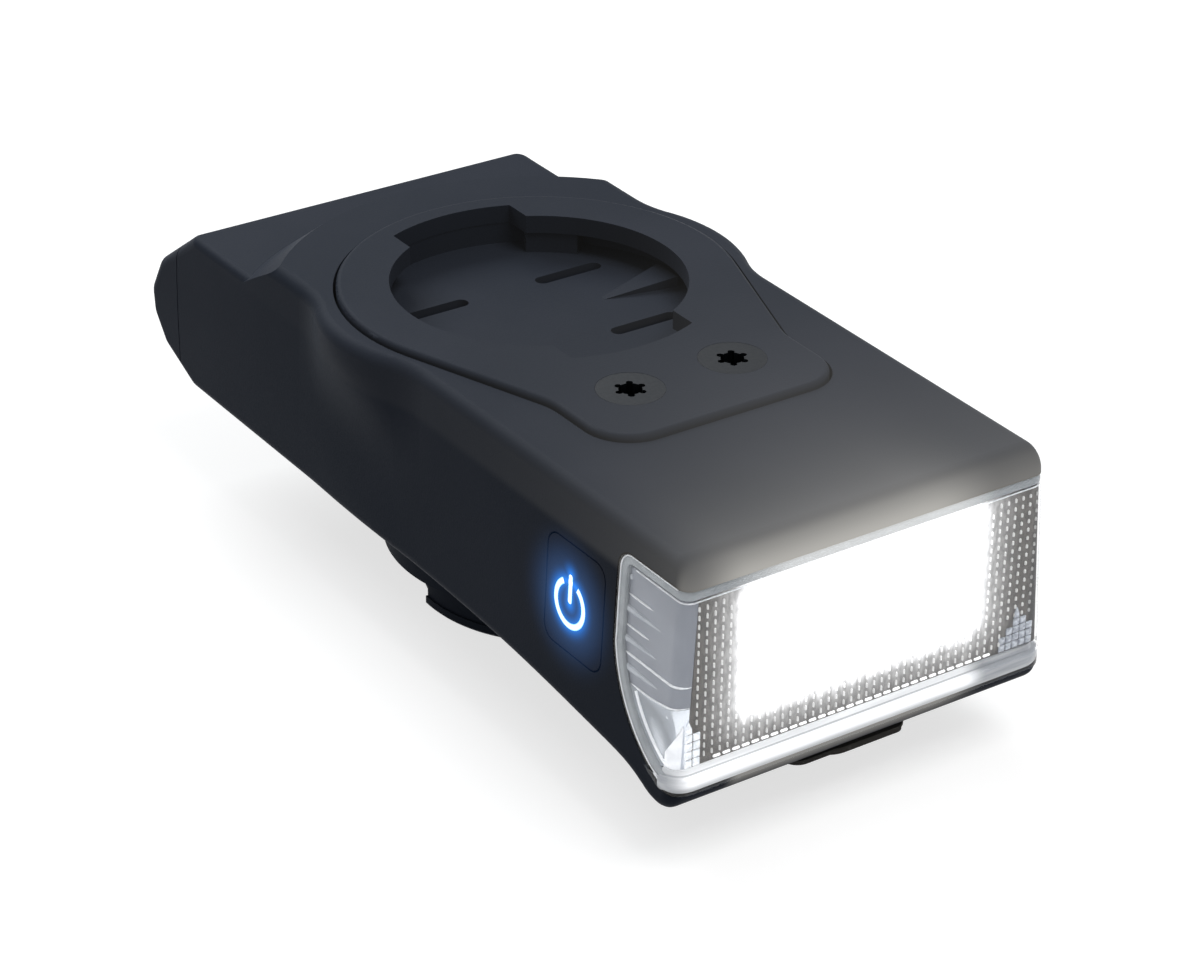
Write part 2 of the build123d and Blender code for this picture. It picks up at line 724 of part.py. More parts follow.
# Mount insert: the quarter-turn socket for a bicycle computer
with BuildPart() as mount_insert:
    with BuildSketch(Plane.XY.offset(POCKET_Z)):
        add(insert_outline())
    extrude(amount=RIM_Z - POCKET_Z)
    fillet(mount_insert.faces().sort_by(Axis.Z)[-1].edges(), RIM_R)
    with BuildSketch(Plane.XY.offset(FLOOR_Z)):
        Circle(SOCKET_WALL_R)
    extrude(amount=RIM_Z - LIP_T - FLOOR_Z, mode=Mode.SUBTRACT)
    with BuildSketch(Plane.XY.offset(FLOOR_Z)):
        Circle(SOCKET_R)
        with BuildSketch(mode=Mode.PRIVATE) as notches:
            Circle(NOTCH_R)
            Rectangle(2 * NOTCH_HALF, 4 * RING_R, mode=Mode.INTERSECT)
        add(notches.sketch)
    extrude(amount=RIM_Z - FLOOR_Z, mode=Mode.SUBTRACT)
    # Stops that end the quarter turn, one beside each notch
    for turn in (0, 180):
        with BuildSketch(Plane.XY.offset(FLOOR_Z - OVERLAP).rotated((0, 0, turn))):
            with BuildLine():
                inner = CenterArc((0, 0), STOP_IN_R, STOP_FROM, STOP_TO - STOP_FROM)
                outer = CenterArc((0, 0), SOCKET_WALL_R + OVERLAP, STOP_FROM, STOP_TO - STOP_FROM)
                Line(inner @ 0, outer @ 0)
                Line(inner @ 1, outer @ 1)
            make_face()
        extrude(amount=RIM_Z - LIP_T - FLOOR_Z + 2 * OVERLAP)
    # Slots that free the floor's middle strip, and the core holes under the lip
    with BuildSketch(Plane.XY.offset(POCKET_Z - OVERLAP)):
        slot_mid = (SLOT_IN_X + SLOT_OUT_X) / 2
        with GridLocations(2 * slot_mid, 2 * SLOT_Y, 2, 2):
            SlotOverall(SLOT_OUT_X - SLOT_IN_X, SLOT_W)
    extrude(amount=FLOOR_Z - POCKET_Z + 2 * OVERLAP, mode=Mode.SUBTRACT)
    with BuildSketch(Plane.XY.offset(POCKET_Z - OVERLAP)):
        with BuildLine():
            inner = CenterArc((0, 0), CORE_HOLE_R, CORE_HOLE_FROM, CORE_HOLE_TO - CORE_HOLE_FROM)
            outer = CenterArc((0, 0), NOTCH_R, CORE_HOLE_FROM, CORE_HOLE_TO - CORE_HOLE_FROM)
            Line(inner @ 0, outer @ 0)
            Line(inner @ 1, outer @ 1)
        make_face()
    extrude(amount=FLOOR_Z - POCKET_Z + 2 * OVERLAP, mode=Mode.SUBTRACT)
    # Detent ramp that a computer's tab clicks over
    with BuildSketch(Plane.YZ.offset(DETENT_END_X)):
        with Locations((0, FLOOR_Z + (DETENT_H - OVERLAP) / 2)):
            Rectangle(2 * DETENT_HALF, DETENT_H + OVERLAP)
    with BuildSketch(Plane.YZ.offset(DETENT_TIP_X)):
        with Locations((0, FLOOR_Z - OVERLAP / 2)):
            Rectangle(DETENT_TIP_W, DETENT_TIP_H)
    loft()
    with Locations((-SCREW_X, SCREW_Y, RIM_Z), (SCREW_X, SCREW_Y, RIM_Z)):
        CounterSinkHole(CLEAR_R, HEAD_R + HEAD_GAP, depth=RIM_Z - POCKET_Z + 1, counter_sink_angle=90)
mount_insert.part.label = "mount_insert"
export_step(mount_insert.part, "parts/mount_insert.step")

# Countersunk screws with a six-lobe drive
with BuildPart() as insert_screws:
    for sign in (-1, 1):
        with BuildSketch(Plane.XY.offset(HEAD_TOP_Z)):
            with Locations((sign * SCREW_X, SCREW_Y)):
                Circle(HEAD_R)
        extrude(amount=-(HEAD_R - SHANK_R), taper=45)
        with BuildSketch(Plane.XY.offset(RIM_Z - 1)):
            with Locations((sign * SCREW_X, SCREW_Y)):
                Circle(SHANK_R)
        extrude(amount=SCREW_END_Z - RIM_Z + 1)
        with BuildSketch(Plane.XY.offset(RIM_Z)):
            with Locations((sign * SCREW_X, SCREW_Y)):
                Circle(DRIVE_CORE_R)
                with PolarLocations(DRIVE_LOBE_AT, 6):
                    Circle(DRIVE_LOBE_R)
        extrude(amount=-DRIVE_DEPTH, mode=Mode.SUBTRACT)
insert_screws.part.label = "insert_screws"
export_step(insert_screws.part, "parts/insert_screws.step")

# Brass nuts pressed into the housing under the insert
with BuildPart() as insert_nuts:
    with BuildSketch(Plane.XY.offset(NUT_LOW_Z)):
        with Locations((-SCREW_X, SCREW_Y), (SCREW_X, SCREW_Y)):
            Circle(NUT_R)
            Circle(SHANK_R, mode=Mode.SUBTRACT)
    extrude(amount=NUT_HIGH_Z - NUT_LOW_Z)
insert_nuts.part.label = "insert_nuts"
export_step(insert_nuts.part, "parts/insert_nuts.step")

# Quarter-turn foot that plugs into an out-front mount
with BuildPart() as mount_foot:
    with BuildSketch(foot_plane(0)):
        Circle(HUB_R)
    extrude(amount=TAB_LOW_Z)
    chamfer(mount_foot.faces().sort_by(Axis.Z)[0].edges(), HUB_CHAMFER)
    with BuildSketch(foot_plane(TAB_LOW_Z)):
        Circle(NECK_R)
    extrude(amount=PEDESTAL_Z - TAB_LOW_Z)
    for turn in (0, 180):
        with BuildSketch(foot_plane(-OVERLAP, turn)):
            with BuildLine():
                inner = CenterArc((0, 0), HUB_GAP_IN_R, HUB_GAP_FROM, HUB_GAP_TO - HUB_GAP_FROM)
                outer = CenterArc((0, 0), HUB_R + 1, HUB_GAP_FROM, HUB_GAP_TO - HUB_GAP_FROM)
                Line(inner @ 0, outer @ 0)
                Line(inner @ 1, outer @ 1)
            make_face()
        extrude(amount=PEDESTAL_Z + OVERLAP, mode=Mode.SUBTRACT)
    with BuildSketch(foot_plane(PEDESTAL_Z)):
        Circle(PEDESTAL_R)
    extrude(amount=BELLY_Z + 1 - PEDESTAL_Z)
    for turn in (90, 270):
        with BuildSketch(foot_plane(TAB_LOW_Z, turn)):
            with BuildLine():
                inner = CenterArc((0, 0), HUB_R - 1, -TAB_HALF_ANGLE, 2 * TAB_HALF_ANGLE)
                outer = CenterArc((0, 0), TAB_R, -TAB_HALF_ANGLE, 2 * TAB_HALF_ANGLE)
                Line(inner @ 0, outer @ 0)
                Line(inner @ 1, outer @ 1)
            make_face()
        extrude(amount=TAB_HIGH_Z - TAB_LOW_Z)
    tab_corners = [
        edge
        for edge in mount_foot.edges().filter_by(Axis.Z)
        if abs(edge.center().Y - FOOT_Y) > HUB_R and edge.length < TAB_HIGH_Z - TAB_LOW_Z + OVERLAP
    ]
    fillet(tab_corners, TAB_CORNER_R)
    # Notches in the tabs for the mount's detents
    for sign in (-1, 1):
        notch_ys = sorted((FOOT_Y + sign * TAB_NOTCH_IN_R, FOOT_Y + sign * (TAB_R + OVERLAP)))
        add(
            box_between(
                (-TAB_NOTCH_W / 2, notch_ys[0], TAB_LOW_Z - OVERLAP),
                (TAB_NOTCH_W / 2, notch_ys[1], TAB_LOW_Z + TAB_NOTCH_D),
            ),
            mode=Mode.SUBTRACT,
        )
    with BuildSketch(foot_plane(FOOT_NUT_Z)):
        with GridLocations(2 * FOOT_SCREW_AT, 2 * FOOT_SCREW_AT, 2, 2):
            Circle(FOOT_NUT_R)
    extrude(amount=BELLY_Z + 1 - FOOT_NUT_Z, mode=Mode.SUBTRACT)
    add(body_shape.part, mode=Mode.SUBTRACT)
mount_foot.part.label = "mount_foot"
export_step(mount_foot.part, "parts/mount_foot.step")

# Brass nuts in the foot, and the screws that come down to them from inside the housing
with BuildPart() as foot_nuts:
    with BuildSketch(foot_plane(FOOT_NUT_Z)):
        with GridLocations(2 * FOOT_SCREW_AT, 2 * FOOT_SCREW_AT, 2, 2):
            Circle(FOOT_NUT_R)
            Circle(FOOT_SCREW_R, mode=Mode.SUBTRACT)
    extrude(amount=FOOT_NUT_TOP_Z - FOOT_NUT_Z)
foot_nuts.part.label = "foot_nuts"
export_step(foot_nuts.part, "parts/foot_nuts.step")

with BuildPart() as foot_screws:
    with BuildSketch(foot_plane(FOOT_SCREW_LOW_Z)):
        with GridLocations(2 * FOOT_SCREW_AT, 2 * FOOT_SCREW_AT, 2, 2):
            Circle(FOOT_SCREW_R)
    extrude(amount=CAVITY_FLOOR_Z + OVERLAP - FOOT_SCREW_LOW_Z)
    with BuildSketch(foot_plane(CAVITY_FLOOR_Z)):
        with GridLocations(2 * FOOT_SCREW_AT, 2 * FOOT_SCREW_AT, 2, 2):
            Circle(FOOT_HEAD_R)
    extrude(amount=FOOT_HEAD_H)
foot_screws.part.label = "foot_screws"
export_step(foot_screws.part, "parts/foot_screws.step")

# Power button, flush in the left wall, with a lit mark let into its face
with BuildPart() as mark_shape:
    with BuildSketch(side_plane(OUTSIDE_X, MARK_Y, MARK_Z)):
        Circle(MARK_R)
        Circle(MARK_R - MARK_STROKE, mode=Mode.SUBTRACT)
        with BuildSketch(mode=Mode.PRIVATE) as opening:
            with BuildLine():
                left = PolarLine((0, 0), 2 * MARK_R, 90 + MARK_OPEN / 2)
                right = PolarLine((0, 0), 2 * MARK_R, 90 - MARK_OPEN / 2)
                Line(left @ 1, right @ 1)
            make_face()
        add(opening.sketch, mode=Mode.SUBTRACT)
        with Locations((0, MARK_BAR / 2)):
            SlotOverall(MARK_BAR, MARK_STROKE, rotation=90)
    extrude(amount=MARK_DEPTH_X - OUTSIDE_X)
    with BuildSketch(side_plane(MARK_DEPTH_X, MARK_Y, MARK_Z)):
        Circle(MARK_BACK_R)
    extrude(amount=MARK_BACK_X - MARK_DEPTH_X)

with BuildPart() as power_button:
    add(body_form.part)
    with BuildSketch(side_plane(OUTSIDE_X)):
        add(button_outline(0))
    extrude(amount=BUTTON_IN_X - OUTSIDE_X, mode=Mode.INTERSECT)
    flange_h = FLANGE_HIGH_Z - FLANGE_LOW_Z
    flange_mid = (FLANGE_HIGH_Z + FLANGE_LOW_Z) / 2
    with BuildSketch(side_plane(BUTTON_IN_X - OVERLAP, z=flange_mid)):
        RectangleRounded(STEP_W, STEP_H, FLANGE_CORNER_R)
    extrude(amount=FLANGE_IN_X - BUTTON_IN_X + OVERLAP)
    with BuildSketch(side_plane(FLANGE_X, z=flange_mid)):
        RectangleRounded(FLANGE_W, flange_h, FLANGE_CORNER_R)
    extrude(amount=FLANGE_IN_X - FLANGE_X)
    with BuildSketch(side_plane(FLANGE_IN_X)):
        Circle(NUB_R)
    extrude(amount=PLUNGER_X - FLANGE_IN_X)
    add(mark_shape.part, mode=Mode.SUBTRACT)
power_button.part.label = "power_button"
export_step(power_button.part, "parts/power_button.step")

with BuildPart() as button_light_guide:
    add(body_form.part)
    add(mark_shape.part, mode=Mode.INTERSECT)
button_light_guide.part.label = "button_light_guide"
export_step(button_light_guide.part, "parts/button_light_guide.step")

with BuildPart() as button_seal:
    with BuildSketch(side_plane(SEAL_X)):
        add(button_outline(SEAL_W))
        add(button_outline(SEAL_GAP), mode=Mode.SUBTRACT)
    extrude(amount=SEAL_T)
button_seal.part.label = "button_seal"
export_step(button_seal.part, "parts/button_seal.step")

# Push switch on the front board: its plunger moves with the button
with BuildPart() as switch_plunger:
    with BuildSketch(side_plane(PLUNGER_X)):
        Circle(PLUNGER_R)
    extrude(amount=PLUNGER_END_X - PLUNGER_X)
switch_plunger.part.label = "switch_plunger"
export_step(switch_plunger.part, "parts/switch_plunger.step")

with BuildPart() as push_switch:
    with BuildSketch(side_plane(SWITCH_X)):
        RectangleRounded(SWITCH_W, SWITCH_H, SWITCH_CORNER_R)
    extrude(amount=SWITCH_END_X - SWITCH_X)
    with BuildSketch(side_plane(SWITCH_X)):
        Circle(PLUNGER_R + PLUNGER_GAP)
    extrude(amount=SWITCH_BORE_L, mode=Mode.SUBTRACT)
push_switch.part.label = "push_switch"
export_step(push_switch.part, "parts/push_switch.step")

# Front board with the switch, the button's lamp and the charging socket
with BuildPart() as front_board:
    add(
        box_between(
            (-FRONT_BOARD_HALF, FRONT_BOARD_FRONT_Y, FRONT_BOARD_Z),
            (FRONT_BOARD_HALF, FRONT_BOARD_REAR_Y, FRONT_BOARD_Z + BOARD_T),
        )
    )
front_board.part.label = "front_board"
export_step(front_board.part, "parts/front_board.step")

FRONT_TOP = FRONT_BOARD_Z + BOARD_T
with BuildPart() as button_led:
    add(box_between((*BUTTON_LED_LOW, FRONT_TOP), (*BUTTON_LED_HIGH, FRONT_TOP + BUTTON_LED_H)))
button_led.part.label = "button_led"
export_step(button_led.part, "parts/button_led.step")

with BuildPart() as usb_socket:
    with BuildSketch(Plane.XY.offset(PORT_MOUTH_Z)):
        with Locations((0, PORT_Y)):
            SlotOverall(2 * PORT_HALF, PORT_T)
    extrude(amount=FRONT_BOARD_Z - PORT_MOUTH_Z)
    with BuildSketch(Plane.XY.offset(PORT_MOUTH_Z)):
        with Locations((0, PORT_Y)):
            SlotOverall(2 * (PORT_HALF - PORT_WALL), PORT_T - 2 * PORT_WALL)
    extrude(amount=PORT_DEPTH, mode=Mode.SUBTRACT)
    add(
        box_between(
            (-TONGUE_HALF, PORT_Y - TONGUE_T / 2, PORT_MOUTH_Z + TONGUE_INSET),
            (TONGUE_HALF, PORT_Y + TONGUE_T / 2, PORT_MOUTH_Z + PORT_DEPTH + OVERLAP),
        )
    )
usb_socket.part.label = "usb_socket"
export_step(usb_socket.part, "parts/usb_socket.step")

# Rubber cover over the charging port, with a pull tab under the chin
with BuildPart() as port_cover:
    with BuildSketch(Plane.YZ.offset(-COVER_HALF)):
        with BuildLine():
            Polyline(
                (COVER_FRONT_Y, COVER_LOW_Z),
                (COVER_STEP_Y, COVER_MID_Z),
                (HINGE_Y - HINGE_SLIT, COVER_HINGE_Z),
                (HINGE_Y - HINGE_SLIT, COVER_TOP_Z),
                (COVER_STEP_Y, COVER_TOP_Z),
                (COVER_STEP_Y, COVER_UNDER_Z),
                (COVER_FRONT_Y, COVER_UNDER_Z),
                close=True,
            )
        make_face()
    extrude(amount=2 * COVER_HALF)
    tips = [
        edge
        for edge in port_cover.edges().filter_by(Axis.Z)
        if abs(edge.center().Y - COVER_FRONT_Y) < OVERLAP
    ]
    fillet(tips, COVER_TIP_R)
    with BuildSketch(Plane.XY.offset(TAB_LIP_LOW_Z)) as lip:
        with BuildLine():
            Polyline(
                (TAB_LIP_LEFT_X, TAB_LIP_FRONT_Y),
                (TAB_LIP_RIGHT_X, TAB_LIP_FRONT_Y),
                (TAB_LIP_RIGHT_X, TAB_LIP_REAR_Y),
                (TAB_LIP_LEFT_X, TAB_LIP_REAR_Y),
                close=True,
            )
        make_face()
        fillet(lip.vertices().sort_by_distance((TAB_LIP_LEFT_X, TAB_LIP_FRONT_Y, 0))[0], TAB_LIP_LEFT_R)
        fillet(lip.vertices().sort_by_distance((TAB_LIP_RIGHT_X, TAB_LIP_FRONT_Y, 0))[0], TAB_LIP_RIGHT_R)
    extrude(amount=COVER_UNDER_Z - TAB_LIP_LOW_Z)
    with BuildSketch(Plane.XY.offset(COVER_TOP_Z)):
        with Locations((0, PORT_Y)):
            SlotOverall(PLUG_W, PLUG_T)
    extrude(amount=PLUG_H)
port_cover.part.label = "port_cover"
export_step(port_cover.part, "parts/port_cover.step")

with BuildPart() as port_cover_anchor:
    add(
        box_between(
            (-COVER_HALF, HINGE_Y + HINGE_SLIT, ANCHOR_LOW_Z), (COVER_HALF, ANCHOR_REAR_Y, COVER_TOP_Z)
        )
    )
    with BuildSketch(Plane.XY.offset(COVER_TOP_Z)):
        with Locations((-ANCHOR_STEM_AT, ANCHOR_STEM_Y), (ANCHOR_STEM_AT, ANCHOR_STEM_Y)):
            Circle(ANCHOR_STEM_R)
    extrude(amount=CAVITY_FLOOR_Z - COVER_TOP_Z)
    with BuildSketch(Plane.XY.offset(CAVITY_FLOOR_Z)):
        with Locations((-ANCHOR_STEM_AT, ANCHOR_STEM_Y), (ANCHOR_STEM_AT, ANCHOR_STEM_Y)):
            Circle(ANCHOR_BARB_R)
    extrude(amount=ANCHOR_BARB_H, taper=ANCHOR_BARB_TAPER)
port_cover_anchor.part.label = "port_cover_anchor"
export_step(port_cover_anchor.part, "parts/port_cover_anchor.step")

# Light unit: board, emitters, prism panel, reflector, ribbed side guides and heat sink
LED_FACE_Y = CHAMBER_REAR_Y - LED_BOARD_T
with BuildPart() as led_board:
    add(
        box_between(
            (-LED_BOARD_HALF, LED_FACE_Y, LED_BOARD_LOW_Z), (LED_BOARD_HALF, CHAMBER_REAR_Y, LED_BOARD_HIGH_Z)
        )
    )
led_board.part.label = "led_board"
export_step(led_board.part, "parts/led_board.step")

with BuildPart() as led_emitters:
    with BuildSketch(Plane.XZ.offset(-LED_FACE_Y)):
        with Locations((-LED_PITCH, LED_Z), (0, LED_Z), (LED_PITCH, LED_Z)):
            RectangleRounded(LED_SIZE, LED_SIZE, LED_CORNER_R)
    extrude(amount=LED_T)
led_emitters.part.label = "led_emitters"
export_step(led_emitters.part, "parts/led_emitters.step")

with BuildPart() as prism_panel:
    with BuildSketch(Plane.XZ.offset(-OPTIC_BACK_Y)) as sheet:
        with BuildLine():
            Polyline(
                (-OPTIC_LOW_HALF, OPTIC_LOW_Z),
                (OPTIC_LOW_HALF, OPTIC_LOW_Z),
                (OPTIC_HIGH_HALF, OPTIC_HIGH_Z),
                (-OPTIC_HIGH_HALF, OPTIC_HIGH_Z),
                close=True,
            )
        make_face()
        fillet(sheet.vertices(), OPTIC_CORNER_R)
    extrude(amount=OPTIC_BACK_Y - OPTIC_FRONT_Y)
prism_panel.part.label = "prism_panel"
export_step(prism_panel.part, "parts/prism_panel.step")

with BuildPart() as reflector:
    add(
        box_between(
            (-REFLECTOR_HALF, REFLECTOR_FRONT_Y, REFLECTOR_LOW_Z),
            (REFLECTOR_HALF, REFLECTOR_BACK_Y, REFLECTOR_HIGH_Z),
        )
    )
    with BuildSketch(Plane.XZ.offset(-REFLECTOR_BACK_Y)):
        with Locations((0, LED_Z)):
            RectangleRounded(*FUNNEL_BACK, FUNNEL_R)
    with BuildSketch(Plane.XZ.offset(-REFLECTOR_FRONT_Y)):
        with Locations((0, LED_Z)):
            RectangleRounded(*FUNNEL_FRONT, FUNNEL_R)
    loft(mode=Mode.SUBTRACT)
    for sign in (-1, 1):
        cheek_xs = sorted((sign * REFLECTOR_HALF, sign * CHEEK_OUT_X))
        add(
            box_between(
                (cheek_xs[0], REFLECTOR_FRONT_Y, REFLECTOR_LOW_Z),
                (cheek_xs[1], GUIDE_BACK_Y, CHEEK_HIGH_Z),
            )
        )
    with BuildSketch(Plane.YZ.offset(-SIDE_SPAN)):
        add(lens_profile(-LENS_INSET))
    extrude(amount=2 * SIDE_SPAN, mode=Mode.INTERSECT)
    with Locations((-BOWL_X, BOWL_Y, BOWL_Z), (BOWL_X, BOWL_Y, BOWL_Z)):
        Sphere(BOWL_R, mode=Mode.SUBTRACT)
reflector.part.label = "reflector"
export_step(reflector.part, "parts/reflector.step")

for side_name, sign in (("left", -1), ("right", 1)):
    plate_xs = sorted((sign * GUIDE_IN_X, sign * GUIDE_OUT_X))
    rib_xs = sorted((sign * GUIDE_OUT_X, sign * (GUIDE_OUT_X + GUIDE_RIB_T)))
    with BuildPart() as side_guide:
        add(
            box_between(
                (plate_xs[0], GUIDE_FRONT_Y, GUIDE_LOW_Z),
                (plate_xs[1], GUIDE_BACK_Y, GUIDE_HIGH_Z),
            )
        )
        for rib in range(GUIDE_RIBS):
            rib_half = (SOFT_RIB_W if rib % 2 == 0 else SHARP_RIB_W) / 2
            rib_z = GUIDE_RIB_LOW_Z + rib * GUIDE_RIB_PITCH
            add(
                box_between(
                    (rib_xs[0], GUIDE_RIB_FRONT_Y, rib_z - rib_half),
                    (rib_xs[1], GUIDE_BACK_Y, rib_z + rib_half),
                )
            )
        with BuildSketch(Plane.YZ.offset(-SIDE_SPAN)):
            add(lens_profile(-LENS_INSET))
        extrude(amount=2 * SIDE_SPAN, mode=Mode.INTERSECT)
    side_guide.part.label = side_name + "_light_guide"
    export_step(side_guide.part, "parts/" + side_name + "_light_guide.step")

with BuildPart() as heat_sink:
    add(
        box_between(
            (-SINK_HALF, CHAMBER_REAR_Y, SINK_LOW_Z),
            (SINK_HALF, CHAMBER_REAR_Y + SINK_BASE_T, SINK_HIGH_Z),
        )
    )
    with BuildSketch(Plane.XY.offset(SINK_LOW_Z)):
        with Locations((0, (CHAMBER_REAR_Y + SINK_REAR_Y) / 2)):
            with GridLocations((2 * SINK_HALF - SINK_FIN_T) / (SINK_FINS - 1), 1, SINK_FINS, 1):
                Rectangle(SINK_FIN_T, SINK_REAR_Y - CHAMBER_REAR_Y)
    extrude(amount=SINK_HIGH_Z - SINK_LOW_Z)
heat_sink.part.label = "heat_sink"
export_step(heat_sink.part, "parts/heat_sink.step")

# Battery, its foam pads and the main board
with BuildPart() as battery_pack:
    add(
        box_between(
            (-BATTERY_HALF, BATTERY_FRONT_Y, BATTERY_LOW_Z),
            (BATTERY_HALF, BATTERY_REAR_Y, BATTERY_HIGH_Z),
        )
    )
    fillet(battery_pack.edges().filter_by(Axis.Y), BATTERY_EDGE_R)
battery_pack.part.label = "battery_pack"
export_step(battery_pack.part, "parts/battery_pack.step")

with BuildPart() as battery_pads:
    for pad_y in PAD_YS:
        add(
            box_between(
                (-PAD_HALF, pad_y - PAD_L / 2, CAVITY_FLOOR_Z), (PAD_HALF, pad_y + PAD_L / 2, BATTERY_LOW_Z)
            )
        )
battery_pads.part.label = "battery_pads"
export_step(battery_pads.part, "parts/battery_pads.step")

with BuildPart() as main_board:
    add(
        box_between(
            (-MAIN_BOARD_HALF, MAIN_BOARD_FRONT_Y, MAIN_BOARD_Z),
            (MAIN_BOARD_HALF, MAIN_BOARD_REAR_Y, MAIN_BOARD_Z + BOARD_T),
        )
    )
    with BuildSketch(Plane.XY.offset(MAIN_BOARD_Z)):
        with Locations((-BOARD_SCREW_X, BOARD_SCREW_Y), (BOARD_SCREW_X, BOARD_SCREW_Y)):
            Circle(BOARD_SCREW_R + BOARD_SCREW_GAP)
    extrude(amount=BOARD_T, mode=Mode.SUBTRACT)
main_board.part.label = "main_board"
export_step(main_board.part, "parts/main_board.step")

MAIN_TOP = MAIN_BOARD_Z + BOARD_T
with BuildPart() as board_chips:
    for chip_x, chip_y, chip_w, chip_l, chip_h in CHIP_BLOCKS:
        add(
            box_between(
                (chip_x - chip_w / 2, chip_y - chip_l / 2, MAIN_TOP),
                (chip_x + chip_w / 2, chip_y + chip_l / 2, MAIN_TOP + chip_h),
            )
        )
board_chips.part.label = "board_chips"
export_step(board_chips.part, "parts/board_chips.step")

with BuildPart() as board_screws:
    with BuildSketch(Plane.XY.offset(MAIN_BOARD_Z - BOARD_HEAD_H)):
        with Locations((-BOARD_SCREW_X, BOARD_SCREW_Y), (BOARD_SCREW_X, BOARD_SCREW_Y)):
            Circle(BOARD_HEAD_R)
    extrude(amount=BOARD_HEAD_H)
    with BuildSketch(Plane.XY.offset(MAIN_BOARD_Z - OVERLAP)):
        with Locations((-BOARD_SCREW_X, BOARD_SCREW_Y), (BOARD_SCREW_X, BOARD_SCREW_Y)):
            Circle(BOARD_SCREW_R)
    extrude(amount=BOARD_SCREW_L + OVERLAP)
board_screws.part.label = "board_screws"
export_step(board_screws.part, "parts/board_screws.step")

# Wiring
with BuildPart() as battery_connector:
    add(
        box_between(
            (-CONNECTOR_HALF, CONNECTOR_FRONT_Y, MAIN_BOARD_Z - CONNECTOR_H),
            (CONNECTOR_HALF, CONNECTOR_REAR_Y, MAIN_BOARD_Z),
        )
    )
battery_connector.part.label = "battery_connector"
export_step(battery_connector.part, "parts/battery_connector.step")

with BuildPart() as battery_leads:
    wire_rise_y = BATTERY_REAR_Y + BATTERY_WIRE_REACH
    for wire_x in (-BATTERY_WIRE_X, BATTERY_WIRE_X):
        with BuildLine() as wire_path:
            FilletPolyline(
                (wire_x, BATTERY_REAR_Y, BATTERY_WIRE_LOW_Z),
                (wire_x, wire_rise_y, BATTERY_WIRE_LOW_Z),
                (wire_x, wire_rise_y, BATTERY_WIRE_HIGH_Z),
                (wire_x, CONNECTOR_FRONT_Y, BATTERY_WIRE_HIGH_Z),
                radius=BATTERY_WIRE_BEND_R,
            )
        with BuildSketch(Plane(origin=wire_path.line @ 0, z_dir=wire_path.line % 0)):
            Circle(WIRE_R)
        sweep(path=wire_path.line)
battery_leads.part.label = "battery_leads"
export_step(battery_leads.part, "parts/battery_leads.step")

with BuildPart() as led_leads:
    for wire_x in LAMP_WIRE_XS:
        with BuildLine() as wire_path:
            FilletPolyline(
                (wire_x, CHAMBER_REAR_Y, LAMP_WIRE_Z),
                (wire_x, LAMP_WIRE_Y, LAMP_WIRE_Z),
                (wire_x, LAMP_WIRE_Y, FRONT_TOP),
                radius=LAMP_WIRE_BEND_R,
            )
        with BuildSketch(Plane(origin=wire_path.line @ 0, z_dir=wire_path.line % 0)):
            Circle(WIRE_R)
        sweep(path=wire_path.line)
led_leads.part.label = "led_leads"
export_step(led_leads.part, "parts/led_leads.step")

RIBBON_LOW = FRONT_TOP + RIBBON_GAP
RIBBON_HIGH = MAIN_BOARD_Z - RIBBON_DROP
with BuildPart() as board_ribbon:
    with BuildSketch(Plane.YZ.offset(-RIBBON_HALF)):
        with BuildLine():
            Polyline(
                (RIBBON_FRONT_Y, RIBBON_LOW),
                (RIBBON_BEND_Y, RIBBON_LOW),
                (RIBBON_BEND_Y, RIBBON_HIGH),
                (RIBBON_REAR_Y, RIBBON_HIGH),
                (RIBBON_REAR_Y, RIBBON_HIGH + RIBBON_T),
                (RIBBON_BEND_Y - RIBBON_T, RIBBON_HIGH + RIBBON_T),
                (RIBBON_BEND_Y - RIBBON_T, RIBBON_LOW + RIBBON_T),
                (RIBBON_FRONT_Y, RIBBON_LOW + RIBBON_T),
                close=True,
            )
        make_face()
    extrude(amount=2 * RIBBON_HALF)
board_ribbon.part.label = "board_ribbon"
export_step(board_ribbon.part, "parts/board_ribbon.step")

